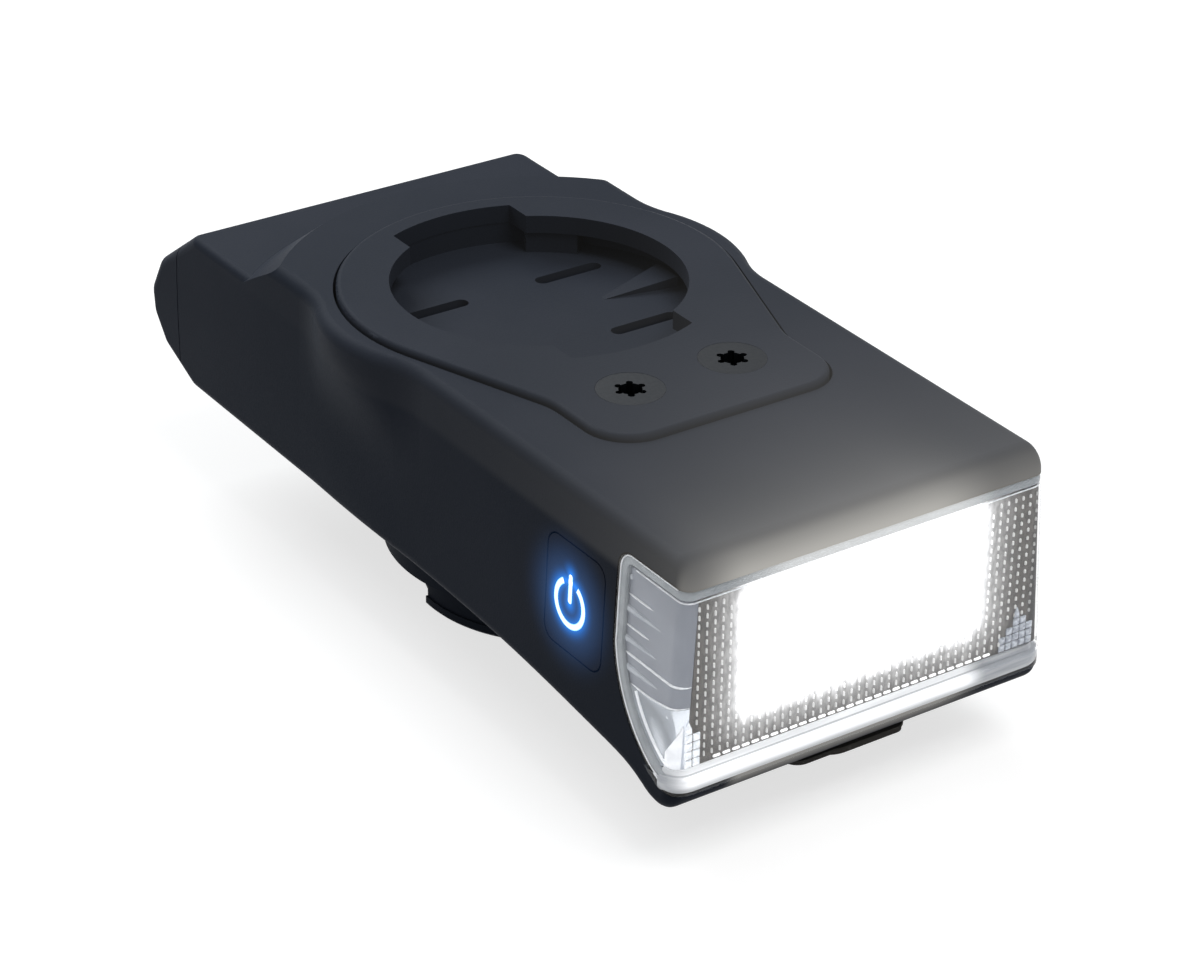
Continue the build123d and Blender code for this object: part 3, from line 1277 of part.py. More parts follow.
# Rear cap, its seal, screws and brass nuts
with BuildPart() as rear_cap:
    add(body_shape.part)
    add(
        box_between((-CUT_SPAN, -CUT_SPAN, 0), (CUT_SPAN, SEAM_Y + SEAM_GAP, CUT_SPAN)),
        mode=Mode.SUBTRACT,
    )
    add(
        box_between(
            (-CAVITY_HALF + CAP_GAP, CAP_SPIGOT_Y, CAVITY_FLOOR_Z + CAP_GAP),
            (CAVITY_HALF - CAP_GAP, SEAM_Y + SEAM_GAP, CAVITY_TOP_Z - CAP_GAP),
        )
    )
    groove_outer = box_between(
        (-CAVITY_HALF, CAP_GROOVE_Y, CAVITY_FLOOR_Z), (CAVITY_HALF, SEAM_Y, CAVITY_TOP_Z)
    )
    groove_inner = box_between(
        (-CAVITY_HALF + CAP_GROOVE_D, CAP_GROOVE_Y, CAVITY_FLOOR_Z + CAP_GROOVE_D),
        (CAVITY_HALF - CAP_GROOVE_D, SEAM_Y, CAVITY_TOP_Z - CAP_GROOVE_D),
    )
    add(groove_outer - groove_inner, mode=Mode.SUBTRACT)
    add(
        box_between(
            (-CAP_HOLLOW_HALF, CAP_SPIGOT_Y, CAVITY_FLOOR_Z + CAP_HOLLOW_INSET),
            (CAP_HOLLOW_HALF, CAP_HOLLOW_REAR_Y, CAVITY_TOP_Z - CAP_HOLLOW_INSET),
        ),
        mode=Mode.SUBTRACT,
    )
    with BuildSketch(Plane.XZ.offset(-CAP_SPIGOT_Y + OVERLAP)):
        with Locations((-CAP_SCREW_X, CAP_SCREW_Z), (CAP_SCREW_X, CAP_SCREW_Z)):
            Circle(CAP_SCREW_R + CAP_CLEARANCE)
    extrude(amount=CAP_SPIGOT_Y - REAR_Y - 1, mode=Mode.SUBTRACT)
    with BuildSketch(Plane.XZ.offset(-CAP_HEAD_Y)):
        with Locations((-CAP_SCREW_X, CAP_SCREW_Z), (CAP_SCREW_X, CAP_SCREW_Z)):
            Circle(CAP_HEAD_R + CAP_CLEARANCE)
    extrude(amount=CAP_HEAD_Y - REAR_Y - 1, mode=Mode.SUBTRACT)
rear_cap.part.label = "rear_cap"
export_step(rear_cap.part, "parts/rear_cap.step")

with BuildPart() as rear_cap_seal:
    add(groove_outer - groove_inner)
rear_cap_seal.part.label = "rear_cap_seal"
export_step(rear_cap_seal.part, "parts/rear_cap_seal.step")

with BuildPart() as rear_cap_screws:
    with BuildSketch(Plane.XZ.offset(-CAP_HEAD_Y)):
        with Locations((-CAP_SCREW_X, CAP_SCREW_Z), (CAP_SCREW_X, CAP_SCREW_Z)):
            Circle(CAP_HEAD_R)
    extrude(amount=-CAP_HEAD_H)
    with BuildSketch(Plane.XZ.offset(-CAP_HEAD_Y)):
        with Locations((-CAP_SCREW_X, CAP_SCREW_Z), (CAP_SCREW_X, CAP_SCREW_Z)):
            Circle(CAP_SCREW_R)
    extrude(amount=CAP_SCREW_L)
    with BuildSketch(Plane.XZ.offset(-CAP_HEAD_Y - CAP_HEAD_H)):
        with Locations((-CAP_SCREW_X, CAP_SCREW_Z), (CAP_SCREW_X, CAP_SCREW_Z)):
            RegularPolygon(CAP_HEX_R, 6)
    extrude(amount=CAP_HEX_DEPTH, mode=Mode.SUBTRACT)
rear_cap_screws.part.label = "rear_cap_screws"
export_step(rear_cap_screws.part, "parts/rear_cap_screws.step")

with BuildPart() as rear_cap_nuts:
    with BuildSketch(Plane.XZ.offset(-CAP_BOSS_REAR_Y)):
        with Locations((-CAP_SCREW_X, CAP_SCREW_Z), (CAP_SCREW_X, CAP_SCREW_Z)):
            Circle(CAP_NUT_R)
            Circle(CAP_SCREW_R, mode=Mode.SUBTRACT)
    extrude(amount=CAP_NUT_L)
rear_cap_nuts.part.label = "rear_cap_nuts"
export_step(rear_cap_nuts.part, "parts/rear_cap_nuts.step")
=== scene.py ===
import math

import bmesh
import bpy
from mathutils import Matrix, Vector


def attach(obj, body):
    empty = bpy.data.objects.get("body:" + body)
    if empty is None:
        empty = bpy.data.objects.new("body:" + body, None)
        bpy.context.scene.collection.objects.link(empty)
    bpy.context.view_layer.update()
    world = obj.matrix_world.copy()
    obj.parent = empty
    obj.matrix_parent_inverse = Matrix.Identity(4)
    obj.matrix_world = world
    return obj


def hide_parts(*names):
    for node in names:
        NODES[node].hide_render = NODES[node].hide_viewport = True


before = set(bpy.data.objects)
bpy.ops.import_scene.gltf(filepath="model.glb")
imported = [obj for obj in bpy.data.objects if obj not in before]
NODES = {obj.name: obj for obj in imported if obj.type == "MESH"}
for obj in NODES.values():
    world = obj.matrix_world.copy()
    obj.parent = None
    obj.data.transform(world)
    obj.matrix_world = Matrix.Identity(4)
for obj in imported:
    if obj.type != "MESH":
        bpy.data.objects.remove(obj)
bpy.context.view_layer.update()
MM = 0.001

# Camera, from the straight edges and circles of the object seen in the photograph
CAMERA_AZIMUTH = math.radians(-34.268)
CAMERA_ELEVATION = math.radians(28.792)
CAMERA_ROLL = math.radians(0.617)
CAMERA_LENS_MM = 105.894
CAMERA_SENSOR_MM = 36.0
CAMERA_DISTANCE = 305.52 * MM
CAMERA_LEFT = -5.261 * MM
CAMERA_UP = 17.46 * MM
CAMERA_CLIP = (0.01, 10.0)
SOCKET_RIM_Z = 28.0 * MM

# Studio, in metres and watts. What is seen is brighter than what lights the object.
FLOOR_SIZE = 6.0
FLOOR_GREY = (0.4, 0.4, 0.4)
FLOOR_ROUGHNESS = 0.9
FLOOR_SEEN = 0.7
WORLD_LIGHT = 0.25
WORLD_SEEN = 1.0
LAMP_TARGET = (0.0, 0.0, 0.015)
LAMPS = (
    # name, place, size, power, colour
    ("key", (0.0, 0.5, 0.4), (0.5, 0.3), 3.4, (0.94, 0.98, 1.0)),
    ("top", (0.1, -0.25, 0.6), (0.35, 0.35), 2.2, (1.0, 1.0, 1.0)),
    ("fill", (-0.5, -0.35, 0.3), (0.4, 0.4), 0.25, (1.0, 1.0, 1.0)),
)

# The lens's outer surface: half widths by height. Every length from here on is in millimetres.
FRONT_Y = -47.1
OUTER_HALVES = (
    (3.5, 18.75),
    (9.0, 18.6),
    (14.0, 18.3),
    (18.0, 18.05),
    (21.0, 17.9),
    (24.0, 17.7),
    (28.0, 17.5),
)
OUTER_CORNER_R = 1.1

# Its inner surface, and the wall just under its face
INNER_FRONT_Y = -46.3
INNER_LOW_Z = 8.5
INNER_HIGH_Z = 24.0
INNER_HALF_LOW = 17.8
INNER_HALF_HIGH = 16.9
INNER_CORNER_R = 0.9
FACE_Y = -46.85
FACE_SIDE = 0.85
FACE_CORNER_R = 0.8
CORNER_END_Y = INNER_FRONT_Y + INNER_CORNER_R - INNER_CORNER_R * math.pi / 2

# The ledge along its foot
LEDGE_FRONT_Y = -47.6
LEDGE_HALF = 18.9
LEDGE_CORNER_R = 2.2

# The side windows' edge, with three points of the arc below
WINDOW_REAR_Y = -38.4
WINDOW_HIGH_Z = 25.2
WINDOW_CORNER_R = 1.6
WINDOW_LEAST_R = 0.2
WINDOW_ARC = ((-47.0, 7.3), (-41.5, 10.7), (-38.4, 17.0))
WINDOW_STEPS = (40, 9, 8, 26)

# The glow behind the lens, which stands for the lamp's own light: its place, half sizes and corner
# radius, and how its edge fades. The spill outside it is painted light.
GLOW_X = 0.0
GLOW_Z = 18.05
GLOW_HALF_X = 12.15
GLOW_HALF_Z = 6.15
GLOW_CORNER_R = 1.6
GLOW_EDGE = (-0.7, 0.9)
GLOW_SPILL = (0.0, 4.2)
GLOW_STRENGTH = 0.75
GLOW_COLOUR = (0.97, 0.98, 1.0)
WOBBLE = 0.3
WOBBLE_Z = (15.0, 18.0)
WOBBLE_BAND = (0.3, 0.7)
GLOW_SHADE = (0.8, 1.2)

# Painted shade: the prism sheet ends dark at the right corner, for the dark line along the lens's
# right edge
SHEET_END_X = (16.9, 17.5)
SHEET_END_LEAST = 0.1
SHEET_END_PAINTED_SHADE = (0.01, 0.01, 0.012)

# The frosted border, brighter over the glow with painted light. A span is low, high, soft width
# below and above.
FROST_DARK = (0.20, 0.222, 0.24)
FROST_LIGHT = (0.25, 0.272, 0.292)
FROST_BAND = (0.3, 0.7)
FROST_SPAN = (-6.0, 8.0, 9.0, 6.0)
FROST_Y = (-44.5, -44.0)
FROST_STRENGTH = 0.4
FROST_PAINTED_GLOW = (1.0, 0.99, 0.96)

# The lit ledge: its lit length, its foot and crease darkened with painted shade, its dimmer top,
# and its streaks
LEDGE_SPAN = (-16.5, 10.0, 2.5, 2.5)
LEDGE_FOOT_Z = (7.55, 8.15)
LEDGE_FOOT_LEAST = 0.25
LEDGE_TOP_Z = (8.7, 8.85)
LEDGE_TOP_LEAST = 0.75
LEDGE_CREASE = (8.74, 8.8, 0.06, 0.06)
LEDGE_CREASE_LEAST = 0.35
LEDGE_STRENGTH = 0.75
LEDGE_STREAK_BAND = (0.4, 0.7)
LEDGE_STREAK_STRENGTH = 0.12
LEDGE_COLOUR = (0.24, 0.255, 0.28)

# Painted light: emission that stands for the lamp's glow on the body, along the hood, on its rim
# and on the chin
HOOD_Z = (23.0, 24.0)
HOOD_FRONT_Y = -47.0
CLOSE_REACH = 5.0
CLOSE_STRENGTH = 0.11
CLOSE_SPAN = (-12.0, 4.0, 9.0, 10.0)
BROAD_REACH = 20.0
BROAD_STRENGTH = 0.085
BROAD_X = (-26.0, 4.0)
BROAD_LEAST = 0.25
NOSE_Y = (-46.6, -45.6)
RIM_START_Z = (24.0, 24.6)
RIM_END_Z = (25.0, 28.2)
RIM_STRENGTH = 0.26
RIM_SPAN = (-11.5, 6.0, 5.0, 7.0)
RIM_LEAST = 0.35
CHIN_SPAN = (-12.0, 7.0, 1.6, 6.0)
CHIN_START_Z = (5.6, 7.6)
CHIN_END_Z = (8.0, 9.0)
CHIN_STRENGTH = 0.24
PAINTED_LAMP_GLOW_COLOUR = (1.0, 0.97, 0.90)

# The lit mark in the button, and its painted halo: emission on the wall round it for its light
# there
MARK_Y = -32.2
MARK_Z = 17.2
MARK_RING_R = 1.925
MARK_BAR_H = 2.6
MARK_BAR_FOOT = (-0.1, 0.1)
MARK_CORE = (0.12, 0.29)
MARK_WHITE = (0.90, 0.98, 1.0)
MARK_BLUE = (0.05, 0.50, 1.0)
MARK_COLOUR = (0.5, 0.75, 1.0)
MARK_STRENGTH = 1.15
HALO_NEAR = (0.1, 1.7)
HALO_NEAR_STRENGTH = 0.8
HALO_NEAR_COLOUR = (0.0, 0.24, 1.0)
HALO_FAR = (1.2, 8.0)
HALO_FAR_STRENGTH = 0.21
HALO_FAR_COLOUR = (0.12, 0.32, 0.85)
HALO_X = (-16.5, -16.0)

# Finishes: the part of a noise that shows as clouds, and how much it varies the roughness
CLOUD_BAND = (0.35, 0.65)
GRIT_ROUGHNESS = 0.12
GRAIN_DEPTH = 0.02 * MM
GRAIN_STRENGTH = 0.6
PLASTIC_SPECULAR = 0.014
SATIN_ROUGHNESS = 0.1
SATIN_FINE = 9
METAL_ROUGHNESS = 0.15
LENS_ROUGHNESS = 0.02
LENS_IOR = 1.05
BLACK = (0.0, 0.0, 0.0)
WHITE = (1.0, 1.0, 1.0)


def make_camera():
    """The photograph's camera: it looks at the socket's rim from the beam's side."""
    sin_a, cos_a = math.sin(CAMERA_AZIMUTH), math.cos(CAMERA_AZIMUTH)
    sin_e, cos_e = math.sin(CAMERA_ELEVATION), math.cos(CAMERA_ELEVATION)
    level_right = Vector((cos_a, sin_a, 0))
    level_up = Vector((-sin_e * sin_a, sin_e * cos_a, cos_e))
    back = Vector((sin_a * cos_e, -cos_a * cos_e, sin_e))
    right = level_right * math.cos(CAMERA_ROLL) + level_up * math.sin(CAMERA_ROLL)
    up = level_up * math.cos(CAMERA_ROLL) - level_right * math.sin(CAMERA_ROLL)
    place = back * CAMERA_DISTANCE - right * CAMERA_LEFT - up * CAMERA_UP
    place.z += SOCKET_RIM_Z
    turn = Matrix((right, up, back)).transposed().to_4x4()
    data = bpy.data.cameras.new("camera")
    data.sensor_width = CAMERA_SENSOR_MM
    data.lens = CAMERA_LENS_MM
    data.clip_start, data.clip_end = CAMERA_CLIP
    camera = bpy.data.objects.new("camera", data)
    camera.matrix_world = Matrix.Translation(place) @ turn
    bpy.context.scene.collection.objects.link(camera)
    bpy.context.scene.camera = camera


# Shader helpers


def node(tree, kind, inputs=None, **settings):
    """Adds a shader node. An input may be a value or another node's output."""
    made = tree.nodes.new(kind)
    for name, value in settings.items():
        setattr(made, name, value)
    for name, value in (inputs or {}).items():
        if isinstance(value, bpy.types.NodeSocket):
            tree.links.new(value, made.inputs[name])
        else:
            made.inputs[name].default_value = value
    return made


def calc(tree, operation, first, second=0.0):
    """One step of arithmetic, as an output socket."""
    return node(tree, "ShaderNodeMath", {0: first, 1: second}, operation=operation).outputs[0]


def product(tree, *factors):
    """All the factors multiplied, as an output socket."""
    result = factors[0]
    for factor in factors[1:]:
        result = calc(tree, "MULTIPLY", result, factor)
    return result


def total(tree, *terms):
    """All the terms added, as an output socket."""
    result = terms[0]
    for term in terms[1:]:
        result = calc(tree, "ADD", result, term)
    return result


def distance(tree, *legs):
    """The length of a line with those legs, as an output socket."""
    return calc(tree, "SQRT", total(tree, *[product(tree, leg, leg) for leg in legs]))


def noise(tree, scale, detail=2.0, rough=0.5, stretch=None):
    """Noise in the object's own space, as an output socket from 0 to 1."""
    place = node(tree, "ShaderNodeTexCoord").outputs["Object"]
    if stretch:
        place = node(tree, "ShaderNodeMapping", {"Vector": place, "Scale": stretch}).outputs[0]
    inputs = {"Vector": place, "Scale": scale, "Detail": detail, "Roughness": rough}
    return node(tree, "ShaderNodeTexNoise", inputs).outputs["Fac"]


def place_of(tree):
    """The surface point's x, y and z in millimetres, as output sockets."""
    place = node(tree, "ShaderNodeTexCoord").outputs["Object"]
    split = node(tree, "ShaderNodeSeparateXYZ", {0: place})
    return [product(tree, part, 1.0 / MM) for part in split.outputs]


def ramp(tree, value, low, high, out_low=0.0, out_high=1.0, kind="SMOOTHSTEP"):
    """Maps value from low..high onto out_low..out_high, smoothly and without overshoot."""
    inputs = {
        "Value": value,
        "From Min": low,
        "From Max": high,
        "To Min": out_low,
        "To Max": out_high,
    }
    return node(tree, "ShaderNodeMapRange", inputs, interpolation_type=kind).outputs[0]


def fall(tree, value, low, high, kind="SMOOTHSTEP"):
    """1 up to low, falling to 0 at high."""
    return ramp(tree, value, low, high, 1.0, 0.0, kind)


def between(tree, value, low, high, soft_low, soft_high):
    """1 from low to high, fading to 0 over the soft widths outside."""
    rise = ramp(tree, value, low - soft_low, low)
    return product(tree, rise, fall(tree, value, high, high + soft_high))


def mix_colour(tree, share, first, second):
    """A colour between two, as an output socket."""
    made = node(tree, "ShaderNodeMix", data_type="RGBA")
    share_in, first_in, second_in = made.inputs[0], made.inputs[6], made.inputs[7]
    tree.links.new(share, share_in)
    for socket, value in ((first_in, first), (second_in, second)):
        if isinstance(value, bpy.types.NodeSocket):
            tree.links.new(value, socket)
        else:
            socket.default_value = (*value, 1.0)
    return made.outputs[2]


def add_colours(tree, *colours):
    """All the colours added, as an output socket."""
    result = colours[0]
    for colour in colours[1:]:
        inputs = {0: result, 1: colour}
        result = node(tree, "ShaderNodeVectorMath", inputs, operation="ADD").outputs[0]
    return result


def new_material(name):
    """An empty material with its shader, as (material, tree, shader)."""
    material = bpy.data.materials.new(name)
    material.use_nodes = True
    tree = material.node_tree
    return material, tree, tree.nodes["Principled BSDF"]


def plug(tree, shader, **values):
    """Sets or links the shader's inputs. An underscore in a name stands for a space."""
    for name, value in values.items():
        socket = shader.inputs[name.replace("_", " ")]
        if isinstance(value, bpy.types.NodeSocket):
            tree.links.new(value, socket)
        elif isinstance(value, tuple):
            socket.default_value = (*value, 1.0)
        else:
            socket.default_value = value


# Finishes


def varied(tree, texture, low, width):
    """A roughness that varies with a texture, from low to low + width."""
    return total(tree, product(tree, texture, width), low)


def moulded_plastic(name, dark, light, roughness=0.5):
    """Dark moulded plastic with a spark-eroded grain and faint flow marks."""
    material, tree, shader = new_material(name)
    cloud = ramp(tree, noise(tree, scale=45.0, detail=3.0), *CLOUD_BAND)
    grit = noise(tree, scale=5200.0, rough=0.6)
    grain = {"Height": grit, "Distance": GRAIN_DEPTH, "Strength": GRAIN_STRENGTH}
    plug(
        tree,
        shader,
        Base_Color=mix_colour(tree, cloud, dark, light),
        Roughness=varied(tree, grit, roughness - GRIT_ROUGHNESS / 2, GRIT_ROUGHNESS),
        Normal=node(tree, "ShaderNodeBump", grain).outputs[0],
        Specular_IOR_Level=PLASTIC_SPECULAR,
    )
    return material


def mark_place(tree):
    """Where the surface point is from the lit mark's centre: across, upward and straight."""
    _, y, z = place_of(tree)
    across = calc(tree, "SUBTRACT", y, MARK_Y)
    upward = calc(tree, "SUBTRACT", z, MARK_Z)
    return across, upward, distance(tree, across, upward)


def ring_gap_of(tree, away):
    """The distance from the mark's ring."""
    return calc(tree, "ABSOLUTE", calc(tree, "SUBTRACT", away, MARK_RING_R))


def painted_mark_halo(tree):
    """Painted light: the lit mark's halo on the wall round it, as emission, tight to the strokes,
    then wide.
    """
    across, upward, away = mark_place(tree)
    above = calc(tree, "MAXIMUM", calc(tree, "SUBTRACT", upward, MARK_BAR_H), 0.0)
    below = calc(tree, "MAXIMUM", calc(tree, "MULTIPLY", upward, -1.0), 0.0)
    bar_gap = distance(tree, across, above, below)
    gap = calc(tree, "MINIMUM", ring_gap_of(tree, away), bar_gap)
    near = fall(tree, gap, *HALO_NEAR, kind="LINEAR")
    far = fall(tree, away, *HALO_FAR)
    on_side = fall(tree, place_of(tree)[0], *HALO_X)
    near = product(tree, near, near, near, on_side, HALO_NEAR_STRENGTH)
    far = product(tree, far, far, on_side, HALO_FAR_STRENGTH)
    return add_colours(
        tree,
        mix_colour(tree, near, BLACK, HALO_NEAR_COLOUR),
        mix_colour(tree, far, BLACK, HALO_FAR_COLOUR),
    )


def painted_lamp_glow(tree):
    """Painted light: emission for the lamp's glow on the body near the lens."""
    x, y, z = place_of(tree)
    ahead = calc(tree, "SUBTRACT", HOOD_FRONT_Y, y)
    close = calc(tree, "EXPONENT", product(tree, ahead, 1 / CLOSE_REACH))
    close = product(tree, close, CLOSE_STRENGTH, between(tree, x, *CLOSE_SPAN))
    broad = calc(tree, "EXPONENT", product(tree, ahead, 1 / BROAD_REACH))
    broad = product(tree, broad, BROAD_STRENGTH, ramp(tree, x, *BROAD_X, BROAD_LEAST))
    hood = product(tree, total(tree, close, broad), ramp(tree, z, *HOOD_Z))
    nose = fall(tree, y, *NOSE_Y)
    middle = product(tree, between(tree, x, *RIM_SPAN), 1.0 - RIM_LEAST)
    rim = product(tree, fall(tree, z, *RIM_END_Z), ramp(tree, z, *RIM_START_Z), RIM_STRENGTH)
    rim = product(tree, total(tree, middle, RIM_LEAST), rim, nose)
    chin = product(tree, ramp(tree, z, *CHIN_START_Z), fall(tree, z, *CHIN_END_Z), CHIN_STRENGTH)
    chin = product(tree, between(tree, x, *CHIN_SPAN), nose, chin)
    return mix_colour(tree, total(tree, hood, rim, chin), BLACK, PAINTED_LAMP_GLOW_COLOUR)


def body_plastic(name, dark, light, lights, roughness=0.46):
    """The body's matte plastic, with painted light as emission: the glow of the mark and the lamp.
    """
    material = moulded_plastic(name, dark, light, roughness)
    tree = material.node_tree
    emission = add_colours(tree, *[each(tree) for each in lights])
    shader = tree.nodes["Principled BSDF"]
    plug(tree, shader, Emission_Color=emission, Emission_Strength=1.0)
    return material


def clear_plastic(name):
    """Clear moulded plastic."""
    material, tree, shader = new_material(name)
    rough = varied(tree, noise(tree, scale=900.0), 0.0, LENS_ROUGHNESS)
    plug(tree, shader, Base_Color=WHITE, Roughness=rough, Transmission_Weight=1.0)
    plug(tree, shader, IOR=LENS_IOR, Coat_Weight=0.5, Coat_Roughness=0.04)
    return material


def metal(name, colour, roughness):
    """Bare or plated metal with a fine machined mottle."""
    material, tree, shader = new_material(name)
    rough = varied(tree, noise(tree, scale=3000.0), roughness, METAL_ROUGHNESS)
    plug(tree, shader, Base_Color=colour, Roughness=rough, Metallic=1.0)
    return material


def satin(name, dark, light, roughness, specular=0.5, scale=300.0, metallic=0.0, glow=0.0):
    """A smooth, slightly cloudy finish. The glow is painted light: emission for the light from
    what shines behind it.
    """
    material, tree, shader = new_material(name)
    cloud = ramp(tree, noise(tree, scale, detail=3.0), *CLOUD_BAND)
    colour = mix_colour(tree, cloud, dark, light)
    fine = noise(tree, scale * SATIN_FINE)
    rough = varied(tree, fine, roughness - SATIN_ROUGHNESS / 2, SATIN_ROUGHNESS)
    plug(tree, shader, Base_Color=colour, Roughness=rough, Metallic=metallic)
    plug(tree, shader, Specular_IOR_Level=specular)
    if glow:
        plug(tree, shader, Emission_Color=colour, Emission_Strength=glow)
    return material


def panel_glow(tree):
    """The lamp's light behind the lens, as (full strength inside, painted spill outside)."""
    x, _, z = place_of(tree)
    streak = noise(tree, scale=1800.0, detail=1.0, stretch=(1.0, 0.02, 0.1))
    shift = ramp(tree, streak, *WOBBLE_BAND, -WOBBLE, WOBBLE, "LINEAR")
    moved_z = total(tree, z, product(tree, shift, fall(tree, z, *WOBBLE_Z)))
    gaps = []
    for place, middle, half in ((x, GLOW_X, GLOW_HALF_X), (moved_z, GLOW_Z, GLOW_HALF_Z)):
        away = calc(tree, "ABSOLUTE", calc(tree, "SUBTRACT", place, middle))
        past = calc(tree, "SUBTRACT", away, half - GLOW_CORNER_R)
        gaps.append(calc(tree, "MAXIMUM", past, 0.0))
    gap = calc(tree, "SUBTRACT", distance(tree, *gaps), GLOW_CORNER_R)
    return fall(tree, gap, *GLOW_EDGE), fall(tree, gap, *GLOW_SPILL, kind="LINEAR")


def lit_prisms(name, dark, light, base, spill):
    """The prism sheet's plastic, lit from behind. The bright field stands for the lamp; the faint
    glow all over (base) and the spill round the field are painted light. It ends in painted shade
    at the right corner.
    """
    material, tree, shader = new_material(name)
    bright, near = panel_glow(tree)
    mottle = noise(tree, scale=2400.0, detail=3.0, rough=0.6, stretch=(1.0, 1.0, 0.4))
    mottle = ramp(tree, mottle, *CLOUD_BAND)
    inside = ramp(tree, place_of(tree)[0], *SHEET_END_X, 1.0, SHEET_END_LEAST)
    lit_colour = mix_colour(tree, mottle, dark, light)
    colour = mix_colour(tree, inside, SHEET_END_PAINTED_SHADE, lit_colour)
    shade = ramp(tree, mottle, 0.0, 1.0, *GLOW_SHADE, "LINEAR")
    strength = total(
        tree,
        product(tree, inside, base),
        product(tree, near, near, shade, spill),
        product(tree, bright, GLOW_STRENGTH),
    )
    plug(tree, shader, Base_Color=colour, Roughness=0.3)
    plug(tree, shader, Emission_Color=GLOW_COLOUR, Emission_Strength=strength)
    return material


def lit_mark():
    """The lit mark in the power button: a white core with blue towards its edges."""
    material, tree, shader = new_material("lit_mark")
    across, upward, away = mark_place(tree)
    bar_gap = total(tree, calc(tree, "ABSOLUTE", across), fall(tree, upward, *MARK_BAR_FOOT))
    gap = calc(tree, "MINIMUM", ring_gap_of(tree, away), bar_gap)
    colour = mix_colour(tree, ramp(tree, gap, *MARK_CORE), MARK_WHITE, MARK_BLUE)
    plug(tree, shader, Base_Color=MARK_COLOUR, Roughness=0.4)
    plug(tree, shader, Emission_Color=colour, Emission_Strength=MARK_STRENGTH)
    return material


def rim_frost():
    """Frosted clear plastic, brighter over the glow with painted light."""
    material, tree, shader = new_material("rim_frost")
    x, y, _ = place_of(tree)
    cloud = ramp(tree, noise(tree, scale=500.0), *FROST_BAND)
    colour = mix_colour(tree, cloud, FROST_DARK, FROST_LIGHT)
    over_glow = product(tree, between(tree, x, *FROST_SPAN), fall(tree, y, *FROST_Y))
    strength = product(tree, over_glow, FROST_STRENGTH)
    plug(tree, shader, Base_Color=colour, Roughness=0.25, Specular_IOR_Level=0.6)
    plug(tree, shader, Emission_Color=FROST_PAINTED_GLOW, Emission_Strength=strength)
    return material


def ledge_glow():
    """The ledge carries the lamp's light: white along most of its length, grey at the right."""
    material, tree, shader = new_material("ledge_glow")
    x, _, z = place_of(tree)
    streak = noise(tree, scale=500.0, stretch=(0.25, 1.0, 3.0))
    streak = product(tree, ramp(tree, streak, *LEDGE_STREAK_BAND), LEDGE_STREAK_STRENGTH)
    # Painted shade: the crease and the foot get less light
    in_crease = between(tree, z, *LEDGE_CREASE)
    crease = ramp(tree, in_crease, 0.0, 1.0, 1.0, LEDGE_CREASE_LEAST)
    foot = ramp(tree, z, *LEDGE_FOOT_Z, LEDGE_FOOT_LEAST)
    top = ramp(tree, z, *LEDGE_TOP_Z, 1.0, LEDGE_TOP_LEAST)
    along = between(tree, x, *LEDGE_SPAN)
    strength = total(tree, product(tree, along, foot, top, crease, LEDGE_STRENGTH), streak)
    plug(tree, shader, Base_Color=LEDGE_COLOUR, Roughness=0.2, Specular_IOR_Level=0.5)
    plug(tree, shader, Emission_Color=WHITE, Emission_Strength=strength)
    return material


# Studio


def seen_rays(tree):
    """1 where the camera, a reflection or a clear piece looks, 0 for light on the object."""
    path = node(tree, "ShaderNodeLightPath").outputs
    direct = calc(tree, "MAXIMUM", path["Is Camera Ray"], path["Is Glossy Ray"])
    return calc(tree, "MAXIMUM", direct, path["Is Transmission Ray"])


def make_floor():
    """The pale floor, which keeps the object's shadow."""
    bpy.ops.mesh.primitive_plane_add(size=FLOOR_SIZE)
    floor = bpy.context.object
    floor.name = "floor"
    material, tree, shader = new_material("studio_floor")
    strength = product(tree, seen_rays(tree), FLOOR_SEEN)
    plug(tree, shader, Base_Color=FLOOR_GREY, Roughness=FLOOR_ROUGHNESS, Specular_IOR_Level=0.0)
    plug(tree, shader, Emission_Color=WHITE, Emission_Strength=strength)
    floor.data.materials.append(material)


def make_world():
    """White surroundings, which light the object only a little."""
    world = bpy.data.worlds.new("studio")
    bpy.context.scene.world = world
    world.use_nodes = True
    tree = world.node_tree
    background = tree.nodes["Background"]
    strength = ramp(tree, seen_rays(tree), 0.0, 1.0, WORLD_LIGHT, WORLD_SEEN, "LINEAR")
    plug(tree, background, Color=WHITE, Strength=strength)


def make_lamps():
    """Soft lamps that face the object."""
    for name, place, size, power, colour in LAMPS:
        data = bpy.data.lights.new(name, "AREA")
        data.shape = "RECTANGLE"
        data.size, data.size_y = size
        data.energy = power
        data.color = colour
        lamp = bpy.data.objects.new(name, data)
        lamp.location = place
        lamp.rotation_mode = "QUATERNION"
        facing = Vector(LAMP_TARGET) - Vector(place)
        lamp.rotation_quaternion = facing.to_track_quat("-Z", "Y")
        bpy.context.scene.collection.objects.link(lamp)


make_camera()
make_floor()
make_world()
make_lamps()

# The materials of what lies behind the lens. Their glow is painted light, as emission, for the
# light that reaches them there.
PRISM_BASE = lit_prisms(
    "prism_base", (0.045, 0.041, 0.037), (0.085, 0.078, 0.072), base=0.025, spill=0.55
)
PRISM_BAR = lit_prisms(
    "prism_bar", (0.38, 0.38, 0.37), (0.48, 0.48, 0.47), base=0.22, spill=0.45
)
PRISM_FOOT = lit_prisms("prism_foot", (0.7, 0.7, 0.7), (0.8, 0.8, 0.8), base=0.5, spill=0.3)
